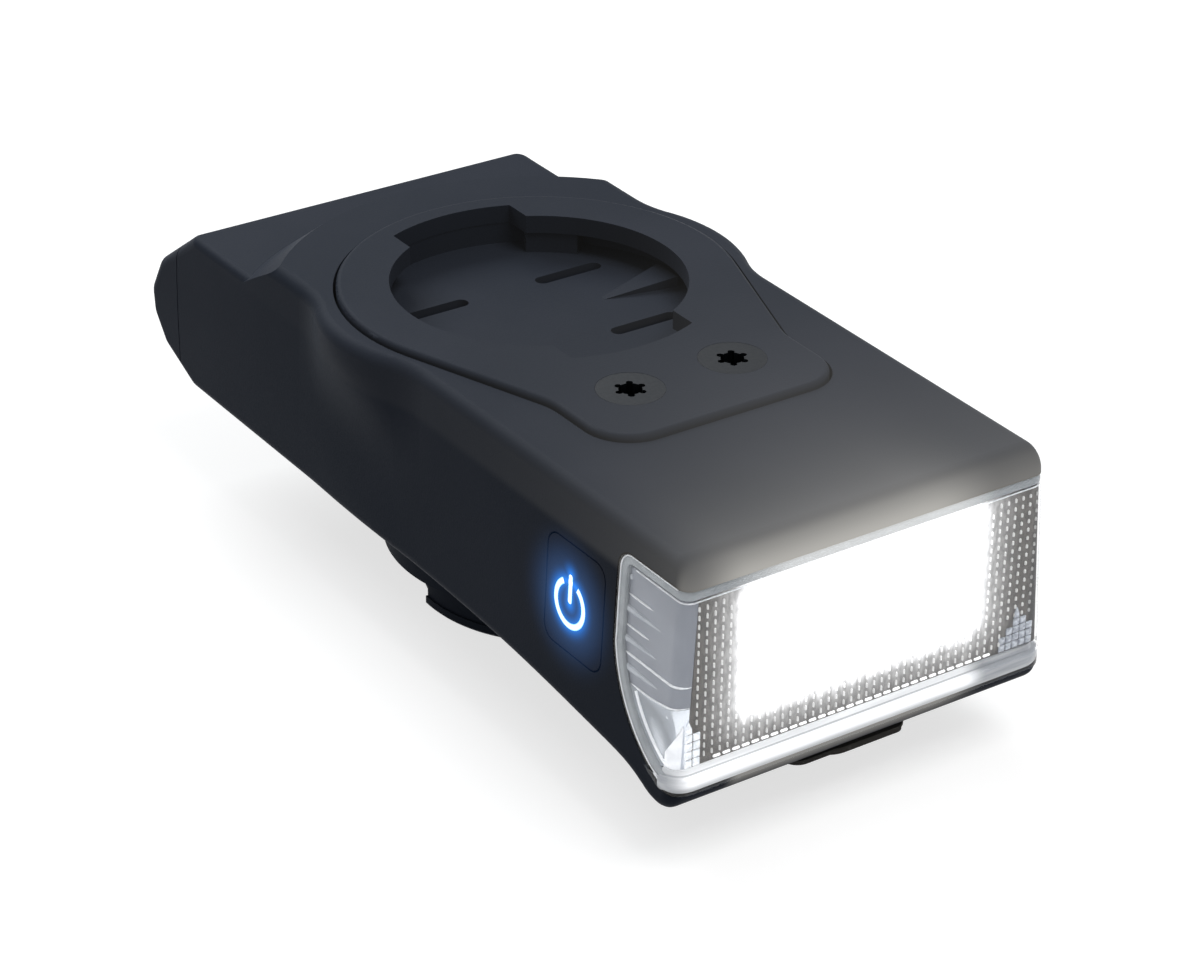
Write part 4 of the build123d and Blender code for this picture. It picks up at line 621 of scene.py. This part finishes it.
# Painted highlights: white beads with a faint painted glow; on the side panels they stand for the
# bright lines where the ridges and steps catch the light
LINE_WHITE = lit_prisms(
    "line_white", (0.58, 0.60, 0.63), (0.68, 0.70, 0.73), base=0.06, spill=0.3
)
CRYSTAL = satin(
    "crystal", (0.60, 0.63, 0.67), (0.80, 0.83, 0.86), 0.15, 0.6, scale=2500.0, glow=0.32
)
CRYSTAL_DIM = satin(
    "crystal_dim", (0.25, 0.27, 0.31), (0.42, 0.45, 0.50), 0.15, 0.6, scale=2500.0, glow=0.25
)
PANEL_GREY = satin(
    "panel_grey", (0.15, 0.162, 0.188), (0.172, 0.185, 0.213), 0.3, 0.4, scale=250.0, glow=0.3
)
RIB_GREY = satin(
    "rib_grey", (0.24, 0.26, 0.29), (0.30, 0.32, 0.35), 0.25, scale=400.0, glow=0.3
)
# Painted reflection: the bowl's glow brightens the chrome, which otherwise reflects only the dark
# parts round it
BOWL_CHROME = satin(
    "bowl_chrome",
    (0.50, 0.53, 0.57),
    (0.62, 0.65, 0.70),
    0.2,
    scale=250.0,
    metallic=1.0,
    glow=0.38,
)
LIP_BRIGHT = satin(
    "lip_bright", (0.7, 0.72, 0.76), (0.85, 0.87, 0.9), 0.2, 0.6, scale=500.0, glow=0.1
)
RIM_FROST = rim_frost()
LEDGE_GLOW = ledge_glow()

# The materials of the CAD nodes, each with the nodes that it covers
# The housing, button, insert and gasket carry painted light: emission for the glow of the lamp and
# of the lit mark
NODE_MATERIALS = (
    (
        body_plastic(
            "housing_plastic",
            (0.016, 0.020, 0.029),
            (0.020, 0.024, 0.034),
            (painted_mark_halo, painted_lamp_glow),
        ),
        ("main_housing", "rear_cap"),
    ),
    (
        body_plastic(
            "button_plastic", (0.016, 0.018, 0.025), (0.019, 0.022, 0.030), (painted_mark_halo,)
        ),
        ("power_button",),
    ),
    (
        body_plastic(
            "insert_plastic", (0.017, 0.021, 0.030), (0.021, 0.025, 0.035), (painted_lamp_glow,)
        ),
        ("mount_insert",),
    ),
    (
        body_plastic(
            "gasket_rubber", (0.010, 0.010, 0.011), (0.014, 0.014, 0.015), (painted_lamp_glow,), 0.7
        ),
        ("lens_gasket",),
    ),
    (
        moulded_plastic("dark_plastic", (0.017, 0.021, 0.030), (0.021, 0.025, 0.035)),
        ("mount_foot", "push_switch", "board_chips"),
    ),
    (
        moulded_plastic("cover_rubber", (0.050, 0.047, 0.044), (0.062, 0.059, 0.055), 0.7),
        ("port_cover",),
    ),
    (
        moulded_plastic("rubber", (0.014, 0.014, 0.014), (0.018, 0.018, 0.018), 0.7),
        ("port_cover_anchor", "rear_cap_seal", "button_seal", "battery_pads"),
    ),
    (metal("black_steel", (0.010, 0.012, 0.015), 0.4), ("insert_screws", "rear_cap_screws")),
    (metal("brass", (0.78, 0.60, 0.28), 0.25), ("insert_nuts", "rear_cap_nuts", "foot_nuts")),
    (metal("steel", (0.6, 0.6, 0.62), 0.25), ("usb_socket", "foot_screws", "board_screws")),
    (metal("aluminium", (0.7, 0.71, 0.73), 0.3), ("heat_sink",)),
    (metal("chrome", (0.9, 0.9, 0.92), 0.08), ("reflector",)),
    (
        satin("board_green", (0.02, 0.12, 0.05), (0.03, 0.16, 0.07), 0.3),
        ("main_board", "front_board"),
    ),
    (
        satin("white_part", (0.7, 0.7, 0.68), (0.8, 0.8, 0.78), 0.35),
        ("led_board", "battery_connector", "board_ribbon", "switch_plunger", "button_led"),
    ),
    (satin("emitter_yellow", (0.8, 0.65, 0.2), (0.9, 0.75, 0.3), 0.4), ("led_emitters",)),
    (
        satin("lead_red", (0.4, 0.02, 0.02), (0.5, 0.04, 0.03), 0.45),
        ("battery_leads", "led_leads"),
    ),
    (satin("battery_sleeve", (0.05, 0.13, 0.35), (0.07, 0.17, 0.42), 0.3), ("battery_pack",)),
    (clear_plastic("lens"), ("front_lens",)),
    (lit_mark(), ("button_light_guide",)),
)
for node_material, node_names in NODE_MATERIALS:
    for node_name in node_names:
        node_mesh = NODES[node_name].data
        node_mesh.materials.clear()
        node_mesh.materials.append(node_material)


# Mesh helpers


def add_piece(name, builder, material, smooth=40.0):
    """Makes one piece from a filled bmesh and lets it ride on the light's body."""
    mesh = bpy.data.meshes.new(name)
    builder.normal_update()
    bmesh.ops.scale(builder, vec=(MM, MM, MM), verts=builder.verts)
    bmesh.ops.recalc_face_normals(builder, faces=builder.faces)
    builder.to_mesh(mesh)
    builder.free()
    mesh.materials.append(material)
    piece = bpy.data.objects.new(name, mesh)
    bpy.context.scene.collection.objects.link(piece)
    mesh.set_sharp_from_angle(angle=math.radians(smooth))
    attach(piece, "base")
    return piece


def add_shell(builder, rows, columns, place):
    """Adds a closed shell over a grid. place(row, column) gives its front and back points."""
    pairs = [[place(row, column) for column in columns] for row in rows]
    front, back = [
        [[builder.verts.new(pair[side]) for pair in line] for line in pairs] for side in (0, 1)
    ]
    last_row, last_column = len(pairs) - 1, len(pairs[0]) - 1
    for i in range(last_row):
        for j in range(last_column):
            for grid, way in ((front, 1), (back, -1)):
                loop = [grid[i][j], grid[i][j + 1], grid[i + 1][j + 1], grid[i + 1][j]]
                builder.faces.new(loop[::way])
    edge = [(0, j) for j in range(last_column + 1)]
    edge += [(i, last_column) for i in range(1, last_row + 1)]
    edge += [(last_row, j) for j in range(last_column - 1, -1, -1)]
    edge += [(i, 0) for i in range(last_row - 1, 0, -1)]
    for (i, j), (k, m) in zip(edge, edge[1:] + edge[:1]):
        builder.faces.new((front[i][j], back[i][j], back[k][m], front[k][m]))


def add_skin(builder, rings):
    """Joins rings of vertices and closes both ends."""
    count = len(rings[0])
    for low, high in zip(rings, rings[1:]):
        for i in range(count):
            j = (i + 1) % count
            builder.faces.new((low[i], low[j], high[j], high[i]))
    builder.faces.new(rings[-1])
    builder.faces.new(rings[0][::-1])


def mix(first, second, share):
    """A value between two."""
    return first + (second - first) * share


def steps(low, high, count):
    """Evenly spaced values from low to high, both included."""
    return [mix(low, high, i / (count - 1)) for i in range(count)]


def share_of(value, low, high):
    """0 below low, 1 above high, straight between."""
    return min(max((value - low) / (high - low), 0.0), 1.0)


def outer_half(z):
    """Half width of the lens's outside at height z."""
    for (low, first), (high, second) in zip(OUTER_HALVES, OUTER_HALVES[1:]):
        if z <= high:
            break
    return mix(first, second, (z - low) / (high - low))


def inner_half(z):
    """Half width of the lens's inside at height z, less a hair."""
    share = (z - INNER_LOW_Z) / (INNER_HIGH_Z - INNER_LOW_Z)
    return mix(INNER_HALF_LOW, INNER_HALF_HIGH, share)


def wall_point(s, z, depth, half, front_y, corner_r):
    """A point under a wall that runs across the front and back along both sides.

    s is the distance along the wall from its middle.
    """
    flat = half - corner_r
    sign, along = (1.0 if s >= 0 else -1.0), abs(s)
    if along <= flat:
        x, y, normal = s, front_y, (0.0, -1.0)
    elif along <= flat + corner_r * math.pi / 2:
        turn = (along - flat) / corner_r
        x = sign * (flat + corner_r * math.sin(turn))
        y = front_y + corner_r * (1 - math.cos(turn))
        normal = (sign * math.sin(turn), -math.cos(turn))
    else:
        x, y = sign * half, front_y + corner_r + along - flat - corner_r * math.pi / 2
        normal = (sign, 0.0)
    return (x - normal[0] * depth, y - normal[1] * depth, z)


def side_point(sign, y, z, depth, half, front_y, corner_r):
    """A point under such a wall by its station y. In front of the corner it goes on round it."""
    along = half - corner_r + corner_r * math.pi / 2 + (y - (front_y + corner_r))
    return wall_point(sign * along, z, depth, half, front_y, corner_r)


def inner_side(sign, y, z, depth):
    """A point inside the lens's inner surface, by its station y."""
    return side_point(sign, y, z, depth, inner_half(z), INNER_FRONT_Y, INNER_CORNER_R)


def outer_side(sign, y, z, depth):
    """A point under the lens's outer surface, by its station y."""
    return side_point(sign, y, z, depth, outer_half(z), FRONT_Y, OUTER_CORNER_R)


def face_wall(s, z, depth):
    """A point just under the lens's face. The wall goes on round its corners."""
    return wall_point(s, z, depth, inner_half(z) + FACE_SIDE, FACE_Y, FACE_CORNER_R)


PROBE_DEPTH = 0.5


def side_line(wall, sign, stations, depth):
    """Points under a side wall through stations (y, z), with the wall's directions out."""
    points = [Vector(wall(sign, y, z, depth)) for y, z in stations]
    insides = [Vector(wall(sign, y, z, depth + PROBE_DEPTH)) for y, z in stations]
    return points, [(point - inside).normalized() for point, inside in zip(points, insides)]


def circle_through(first, second, third):
    """Centre and radius of the circle through three points."""
    (ax, ay), (bx, by), (cx, cy) = first, second, third
    d = 2 * (ax * (by - cy) + bx * (cy - ay) + cx * (ay - by))
    a, b, c = ax * ax + ay * ay, bx * bx + by * by, cx * cx + cy * cy
    centre_x = (a * (by - cy) + b * (cy - ay) + c * (ay - by)) / d
    centre_y = (a * (cx - bx) + b * (ax - cx) + c * (bx - ax)) / d
    return (centre_x, centre_y), math.dist((centre_x, centre_y), first)


ARC_CENTRE, ARC_R = circle_through(*WINDOW_ARC)
ARC_TOP_Z = WINDOW_ARC[2][1]


def window_rear(z, inset):
    """Station of the window's rear edge at height z, moved inwards by inset."""
    y = WINDOW_REAR_Y - inset
    drop = ARC_CENTRE[1] - z
    reach = ARC_R - inset
    if 0 < drop < reach:
        y = min(y, ARC_CENTRE[0] + math.sqrt(reach * reach - drop * drop))
    return y


def window_edge(inset, from_y, to_z):
    """The window's edge as points (y, z): along the top, round the rear and down the arc."""
    top, rear = WINDOW_HIGH_Z - inset, WINDOW_REAR_Y - inset
    corner = max(WINDOW_CORNER_R - inset, WINDOW_LEAST_R)
    middle_y, middle_z = rear - corner, top - corner
    along_top, round_corner, down_rear, down_arc = WINDOW_STEPS
    points = [(y, top) for y in steps(from_y, middle_y, along_top)]
    for turn in steps(math.pi / 2, 0.0, round_corner)[1:]:
        points.append((middle_y + corner * math.cos(turn), middle_z + corner * math.sin(turn)))
    points += [(rear, z) for z in steps(middle_z, ARC_TOP_Z, down_rear)[1:]]
    points += [(window_rear(z, inset), z) for z in steps(ARC_TOP_Z, to_z, down_arc)[1:]]
    return points


CAPSULE_SIDES = 8
CAPSULE_RINGS = ((1.0, 0.0), (0.82, 0.62), (0.42, 1.0))


def add_capsule(builder, place, length, width, height):
    """Adds a low rounded bar at place(u, v, rise), long along v, that stands out by height."""
    half, r = (length - width) / 2, width / 2
    rings = []
    for share, rise in CAPSULE_RINGS:
        ring = []
        for i in range(CAPSULE_SIDES):
            turn = 2 * math.pi * (i + 0.5) / CAPSULE_SIDES
            u, v = r * share * math.cos(turn), r * share * math.sin(turn)
            v += half if v > 0 else -half
            ring.append(builder.verts.new(place(u, v, rise * height)))
        rings.append(ring)
    add_skin(builder, rings)


BEAD_PROFILE = ((-0.5, 0.0), (-0.38, 0.7), (-0.15, 1.0), (0.15, 1.0), (0.38, 0.7), (0.5, 0.0))
TAPER_START = 0.25
TAPER_STEP = 0.35


def add_bead(builder, points, outs, width, height, tapered=False):
    """Adds a closed rounded bead along points, which stands out along the unit vectors outs."""
    rings, last = [], len(points) - 1
    for i, (point, out) in enumerate(zip(points, outs)):
        ahead = points[min(i + 1, last)] - points[max(i - 1, 0)]
        side = ahead.cross(out).normalized()
        size = min(1.0, TAPER_START + TAPER_STEP * min(i, last - i)) if tapered else 1.0
        across, rise = side * (width * size), out * (height * size)
        rings.append([builder.verts.new(point + across * u + rise * v) for u, v in BEAD_PROFILE])
    add_skin(builder, rings)


# The prism sheet with its bars, and the corner clusters

SHEET_LOW_Z = 9.15
SHEET_HIGH_Z = 23.85
SHEET_WRAP = 1.9
SHEET_DEPTH = 0.25
SHEET_T = 0.5
SHEET_STEPS = (12, 60)
BAR_FIRST_S = -16.75
BAR_FIRST_Z = 10.05
BAR_PITCH_S = 0.755
BAR_PITCH_Z = 0.775
BAR_COLUMNS = 48
BAR_ROWS = 18
BAR_LONG = (0.48, 0.17)
BAR_ROUND = (0.38, 0.24)
BAR_ROUND_FROM_S = 12.0
BAR_ROUND_TO_S = 17.0
BAR_DEPTH = 0.27
BAR_H = 0.17
# Bars stand clear of the sheet's ends, the lens's border and the clusters
BAR_PAST_LEFT = 0.05
BAR_PAST_RIGHT = 0.35
BORDER_HALF = 13.0
BORDER_LOW_Z = 23.1
LEFT_CLUSTER_TO = (-15.4, 12.7)
RIGHT_CLUSTER_FROM = (14.3, 12.2)
FOOT_FIRST_S = -14.0
FOOT_PITCH = 0.93
FOOT_COUNT = 30
FOOT_Z = 9.45
FOOT_BAR = (0.74, 0.26)
FOOT_DEPTH = 0.26
CLUSTER_LOW_Z = 9.6
CLUSTER_FILL = 0.42
CLUSTER_RINGS = ((1.0, 0.24), (0.94, 0.1), (0.45, 0.0))
SQUARE = ((-1.0, -1.0), (1.0, -1.0), (1.0, 1.0), (-1.0, 1.0))
POINTED = ((-1.0, -1.0), (1.0, -1.0), (0.8, 0.6), (0.0, 2.4), (-0.8, 0.6))


def has_bar(s, z):
    """Whether a bar stands at that place."""
    half = inner_half(z)
    on_sheet = INNER_CORNER_R - half - BAR_PAST_LEFT <= s <= half + BAR_PAST_RIGHT
    under_border = z > BORDER_LOW_Z and abs(s) < BORDER_HALF
    in_left = s < LEFT_CLUSTER_TO[0] and z < LEFT_CLUSTER_TO[1]
    in_right = s > RIGHT_CLUSTER_FROM[0] and z < RIGHT_CLUSTER_FROM[1]
    return on_sheet and not (under_border or in_left or in_right)


def make_prism_sheet():
    """The sheet behind the lens's front, which wraps a little round the right corner."""

    def place(z, share):
        s = mix(INNER_CORNER_R - inner_half(z), inner_half(z) + SHEET_WRAP, share)
        return face_wall(s, z, SHEET_DEPTH), face_wall(s, z, SHEET_DEPTH + SHEET_T)

    plate = bmesh.new()
    rows, columns = SHEET_STEPS
    add_shell(plate, steps(SHEET_LOW_Z, SHEET_HIGH_Z, rows), steps(0.0, 1.0, columns), place)
    sheet = add_piece("prism_sheet", plate, PRISM_BASE)
    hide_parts("prism_panel")


def make_prism_bars():
    """The sheet's small upright bars, rounder to the right, and the lying row at its foot."""
    bars = bmesh.new()
    for column in range(BAR_COLUMNS):
        for row in range(BAR_ROWS):
            s, z = BAR_FIRST_S + BAR_PITCH_S * column, BAR_FIRST_Z + BAR_PITCH_Z * row
            if has_bar(s, z):
                share = share_of(s, BAR_ROUND_FROM_S, BAR_ROUND_TO_S)
                length, width = (mix(*ends, share) for ends in zip(BAR_LONG, BAR_ROUND))
                add_capsule(
                    bars,
                    lambda u, v, rise: face_wall(s + u, z + v, BAR_DEPTH - rise),
                    length,
                    width,
                    BAR_H,
                )
    add_piece("prism_bars", bars, PRISM_BAR)
    foot_row = bmesh.new()
    for column in range(FOOT_COUNT):
        s = FOOT_FIRST_S + FOOT_PITCH * column
        add_capsule(
            foot_row,
            lambda u, v, rise: face_wall(s + v, FOOT_Z + u, FOOT_DEPTH - rise),
            *FOOT_BAR,
            BAR_H,
        )
    add_piece("prism_foot_row", foot_row, PRISM_FOOT)


def make_cluster(name, material, heights, pointed_column, first_s, cell):
    """Columns of small faceted prisms in a lower corner of the lens, with a pointed one on top."""
    cluster = bmesh.new()
    places = [(i, j, SQUARE) for i, count in enumerate(heights) for j in range(count)]
    places.append((pointed_column, heights[pointed_column], POINTED))
    for i, j, outline in places:
        s, z = first_s + cell * i, CLUSTER_LOW_Z + cell * j
        rings = []
        for share, depth in CLUSTER_RINGS:
            half = cell * CLUSTER_FILL * share
            points = [face_wall(s + u * half, z + v * half, depth) for u, v in outline]
            rings.append([cluster.verts.new(point) for point in points])
        add_skin(cluster, rings)
    add_piece(name, cluster, material, smooth=20.0)


# What shows in the side windows: the ribbed panel, the bowl and its slope towards the prisms

PANEL_DEPTH = -0.22
PANEL_T = 0.6
PANEL_HIGH_Z = 23.9
PANEL_LOW_Z = 13.9
PANEL_LOW_RISE = 0.6
PANEL_LOW_RISE_Y = (42.5, 46.5)
PANEL_LOW_POWER = 1.5
PANEL_STEPS = (36, 34)
WINDOW_INSET = 0.35
SPLIT_Z = 13.7
# Fine lines and wedge ribs: rear station, front station, height
FINE_LINES = ((-39.2, -42.6, 21.5), (-39.0, -42.3, 18.8))
FINE_LINE_SIZE = (0.16, 0.14)
FINE_LINE_POINTS = 12
STEP_LINE = (-39.2, 16.42)
STEP_LINE_SIZE = (0.2, 0.15)
STEP_LINE_POINTS = 26
LOW_LINE_Y = -40.3
LOW_LINE_UP = 0.1
LOW_LINE_SIZE = (0.16, 0.12)
LOW_LINE_POINTS = 16
LINE_FRONT_GAP = 0.05
WEDGE_RIBS = ((-38.98, -43.7, 20.2), (-39.0, -43.3, 17.6), (-39.6, -43.8, 15.2))
WEDGE_SIZE = (0.34, 0.19)
WEDGE_LEAST = (0.03, 0.02)
WEDGE_SECTION = ((-1.0, 0.0), (-0.2, 1.0), (0.75, 0.9), (1.0, 0.0))
WEDGE_POWER = 0.7
WEDGE_POINTS = 14
PEG_Y = -39.5
PEG_Z = 23.0
PEG_SIZE = (0.3, 0.5, 0.12)
SINK = 0.01
FACET_REAR_Y = -45.4
FACET_FRONT_GAP = 0.35
FACET_LOW_Z = 9.1
FACET_HIGH_Z = (10.5, 12.9)
FACET_PROUD = 0.04
FACET_STEPS = (12, 8)
BOWL_LOW_Z = 8.75
BOWL_DEPTH = 0.9
BOWL_SINK = 0.05
BOWL_POWER = 0.7
BOWL_START = 0.15
BOWL_T = 0.3
BOWL_STEPS = (22, 30)
LIP_INSET = 1.45
LIP_LOW_Z = 8.9
LIP_SIZE = (0.34, 0.16)
LIP_SINK = 0.02
LIP_POINTS = 20


def panel_low_z(y):
    """Lower edge of the side panel: level at the rear, rising to the corner."""
    return PANEL_LOW_Z + PANEL_LOW_RISE * share_of(-y, *PANEL_LOW_RISE_Y) ** PANEL_LOW_POWER


def make_side_panel(name, sign, replaced):
    """The grey panel behind one side window, which ends where the prism sheet begins."""

    def place(share, way):
        y = mix(CORNER_END_Y, window_rear(mix(SPLIT_Z, PANEL_HIGH_Z, share), WINDOW_INSET), way)
        z = mix(panel_low_z(y), PANEL_HIGH_Z, share)
        return (
            inner_side(sign, y, z, PANEL_DEPTH),
            inner_side(sign, y, z, PANEL_DEPTH + PANEL_T),
        )

    panel = bmesh.new()
    rows, columns = PANEL_STEPS
    add_shell(panel, steps(0.0, 1.0, rows), steps(0.0, 1.0, columns), place)
    piece = add_piece(name, panel, PANEL_GREY)
    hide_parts(replaced)
    line_end_y = CORNER_END_Y + LINE_FRONT_GAP
    step_rear_y, step_z = STEP_LINE
    lines = [
        ([(y, z) for y in steps(rear_y, front_y, FINE_LINE_POINTS)], FINE_LINE_SIZE)
        for rear_y, front_y, z in FINE_LINES
    ]
    step_ys = steps(step_rear_y, line_end_y, STEP_LINE_POINTS)
    lines.append(([(y, step_z) for y in step_ys], STEP_LINE_SIZE))
    low_ys = steps(LOW_LINE_Y, line_end_y, LOW_LINE_POINTS)
    lines.append(([(y, panel_low_z(y) + LOW_LINE_UP) for y in low_ys], LOW_LINE_SIZE))
    sharp = bmesh.new()
    for stations, size in lines:
        points, outs = side_line(inner_side, sign, stations, PANEL_DEPTH + SINK)
        add_bead(sharp, points, outs, *size, tapered=True)
    add_piece(name + "_lines", sharp, LINE_WHITE)
    soft = bmesh.new()
    for rear_y, front_y, z in WEDGE_RIBS:
        add_wedge_rib(soft, sign, rear_y, front_y, z)
    peg_width, peg_length, peg_h = PEG_SIZE
    add_capsule(
        soft,
        lambda u, v, rise: inner_side(sign, PEG_Y + u, PEG_Z + v, PANEL_DEPTH - rise),
        peg_length,
        peg_width,
        peg_h,
    )
    add_piece(name + "_ribs", soft, RIB_GREY, smooth=25.0)


def add_wedge_rib(builder, sign, rear_y, front_y, z):
    """Adds a rib that is tall and thick at the rear and runs out towards the corner."""
    rings = []
    for way in steps(0.0, 1.0, WEDGE_POINTS):
        y = mix(rear_y, front_y, way)
        size = (1.0 - way) ** WEDGE_POWER
        half_h, rise = (least + most * size for least, most in zip(WEDGE_LEAST, WEDGE_SIZE))
        depth = PANEL_DEPTH + SINK
        points = [
            inner_side(sign, y, z + v * half_h, depth - out * rise) for v, out in WEDGE_SECTION
        ]
        rings.append([builder.verts.new(point) for point in points])
    add_skin(builder, rings)


def make_facet(name, sign):
    """The pale slope at the front end of a bowl, next to the prisms."""

    def place(way, share):
        y = mix(FACET_REAR_Y, CORNER_END_Y + FACET_FRONT_GAP, way)
        z = mix(FACET_LOW_Z, mix(*FACET_HIGH_Z, way), share)
        return (
            inner_side(sign, y, z, PANEL_DEPTH - FACET_PROUD),
            inner_side(sign, y, z, PANEL_DEPTH + PANEL_T),
        )

    facet = bmesh.new()
    rows, columns = FACET_STEPS
    add_shell(facet, steps(0.0, 1.0, rows), steps(0.0, 1.0, columns), place)
    add_piece(name, facet, LIP_BRIGHT)


def make_bowl(name, sign):
    """The bright bowl low behind one side window: a dish with a turned-out lip."""

    def place(share, way):
        y = mix(CORNER_END_Y, window_rear(mix(BOWL_LOW_Z, SPLIT_Z, share), WINDOW_INSET), way)
        z = mix(BOWL_LOW_Z, panel_low_z(y), share)
        along = math.sin(math.pi * way) ** BOWL_POWER
        upward = math.sin(math.pi * min(1.0, mix(BOWL_START, 1.0, share))) ** BOWL_POWER
        depth = PANEL_DEPTH + BOWL_SINK + BOWL_DEPTH * along * upward
        return inner_side(sign, y, z, depth), inner_side(sign, y, z, depth + BOWL_T)

    bowl = bmesh.new()
    rows, columns = BOWL_STEPS
    add_shell(bowl, steps(0.0, 1.0, rows), steps(0.0, 1.0, columns), place)
    add_piece(name, bowl, BOWL_CHROME, smooth=60.0)
    lip = bmesh.new()
    stations = [(window_rear(z, LIP_INSET), z) for z in steps(SPLIT_Z, LIP_LOW_Z, LIP_POINTS)]
    points = [Vector(inner_side(sign, y, z, PANEL_DEPTH + LIP_SINK)) for y, z in stations]
    add_bead(lip, points, [Vector((sign, 0.0, 0.0))] * len(points), *LIP_SIZE)
    add_piece(name + "_lip", lip, LIP_BRIGHT)


# The lens's border, its fine bright lines and the lit core of its ledge

BORDER_OUTER = (0.06, 7.9)
BORDER_INNER = (1.0, 8.6)
BORDER_PROFILE = ((0.0, 0.30), (0.15, 0.16), (0.5, 0.12), (0.85, 0.16), (1.0, 0.34))
BORDER_BACK_DEPTH = 0.5
MIDDLE_Z = 24.7
FRONT_LINE_Z = 24.05
FRONT_LINE_REAR_Y = -40.4
FRONT_LINE_DEPTH = 0.3
FRONT_LINE_SIZE = (0.11, 0.12)
FRONT_LINE_POINTS = 70
EDGE_LINE = (0.14, -46.0, 7.9)
EDGE_LINE_DEPTH = 0.16
EDGE_LINE_SIZE = (0.13, 0.1)
LEDGE_MARGIN = 0.14
LEDGE_END_GAP = 0.1
LEDGE_BACK_DEPTH = 0.8
LEDGE_STEPS = 90
LEDGE_PROFILE = (
    # height, depth
    (7.42, 0.15),
    (7.6, 0.02),
    (8.1, 0.0),
    (8.5, 0.02),
    (8.62, 0.1),
    (8.72, 0.42),
    (9.0, 0.52),
    (9.22, 0.55),
)


def make_border():
    """The frosted border of the lens: round both side windows and across the front."""
    middle_y = FRONT_Y + OUTER_CORNER_R - OUTER_CORNER_R * math.pi / 2
    middle_y -= outer_half(MIDDLE_Z) - OUTER_CORNER_R
    edges = [window_edge(inset, middle_y, low_z) for inset, low_z in (BORDER_OUTER, BORDER_INNER)]
    rim = bmesh.new()
    line = bmesh.new()
    for sign in (-1, 1):

        def place(ends, spot):
            share, depth = spot
            y, z = (mix(*values, share) for values in zip(*ends))
            return outer_side(sign, y, z, depth), outer_side(sign, y, z, BORDER_BACK_DEPTH)

        add_shell(rim, list(zip(*edges)), BORDER_PROFILE, place)
        line_ys = steps(FRONT_LINE_REAR_Y, middle_y, FRONT_LINE_POINTS)
        stations = [(y, FRONT_LINE_Z) for y in line_ys]
        points, outs = side_line(outer_side, sign, stations, FRONT_LINE_DEPTH)
        add_bead(line, points, outs, *FRONT_LINE_SIZE)
        points, outs = side_line(outer_side, sign, window_edge(*EDGE_LINE), EDGE_LINE_DEPTH)
        add_bead(line, points, outs, *EDGE_LINE_SIZE)
    add_piece("lens_rim", rim, RIM_FROST)
    add_piece("lens_bead", line, LINE_WHITE)


def make_ledge():
    """The lit core of the ledge along the lens's foot."""
    half, front_y = LEDGE_HALF - LEDGE_MARGIN, LEDGE_FRONT_Y + LEDGE_MARGIN
    corner = LEDGE_CORNER_R - LEDGE_MARGIN
    reach = half - corner + corner * math.pi / 2 - LEDGE_END_GAP

    def place(spot, s):
        z, depth = spot
        return [
            wall_point(s, z, each, half, front_y, corner) for each in (depth, LEDGE_BACK_DEPTH)
        ]

    core = bmesh.new()
    add_shell(core, LEDGE_PROFILE, steps(-reach, reach, LEDGE_STEPS), place)
    add_piece("ledge_core", core, LEDGE_GLOW)


SIDES = (("left", -1), ("right", 1))

# Small rounds on the sharp edges of these nodes, so that they catch the light
SOFT_EDGES = (("power_button", 0.22), ("mount_insert", 0.18), ("insert_screws", 0.06))
SOFT_EDGE_SEGMENTS = 3
SOFT_EDGE_ANGLE = math.radians(40.0)

make_prism_sheet()
make_prism_bars()
make_cluster(
    "prism_cluster_left", CRYSTAL, heights=(4, 4), pointed_column=0, first_s=-16.75, cell=0.76
)
make_cluster(
    "prism_cluster_right",
    CRYSTAL_DIM,
    heights=(2, 3, 4, 4, 3),
    pointed_column=2,
    first_s=14.5,
    cell=0.7,
)
for side_name, side_sign in SIDES:
    make_facet("facet_" + side_name, side_sign)
for side_name, side_sign in SIDES:
    make_side_panel("side_panel_" + side_name, side_sign, side_name + "_light_guide")
for side_name, side_sign in SIDES:
    make_bowl("bowl_" + side_name, side_sign)
make_border()
make_ledge()
for edged, width in SOFT_EDGES:
    bevel = NODES[edged].modifiers.new("soft_edges", "BEVEL")
    bevel.width = width * MM
    bevel.segments = SOFT_EDGE_SEGMENTS
    bevel.limit_method = "ANGLE"
    bevel.angle_limit = SOFT_EDGE_ANGLE

bpy.context.scene.view_settings.view_transform = "Standard"
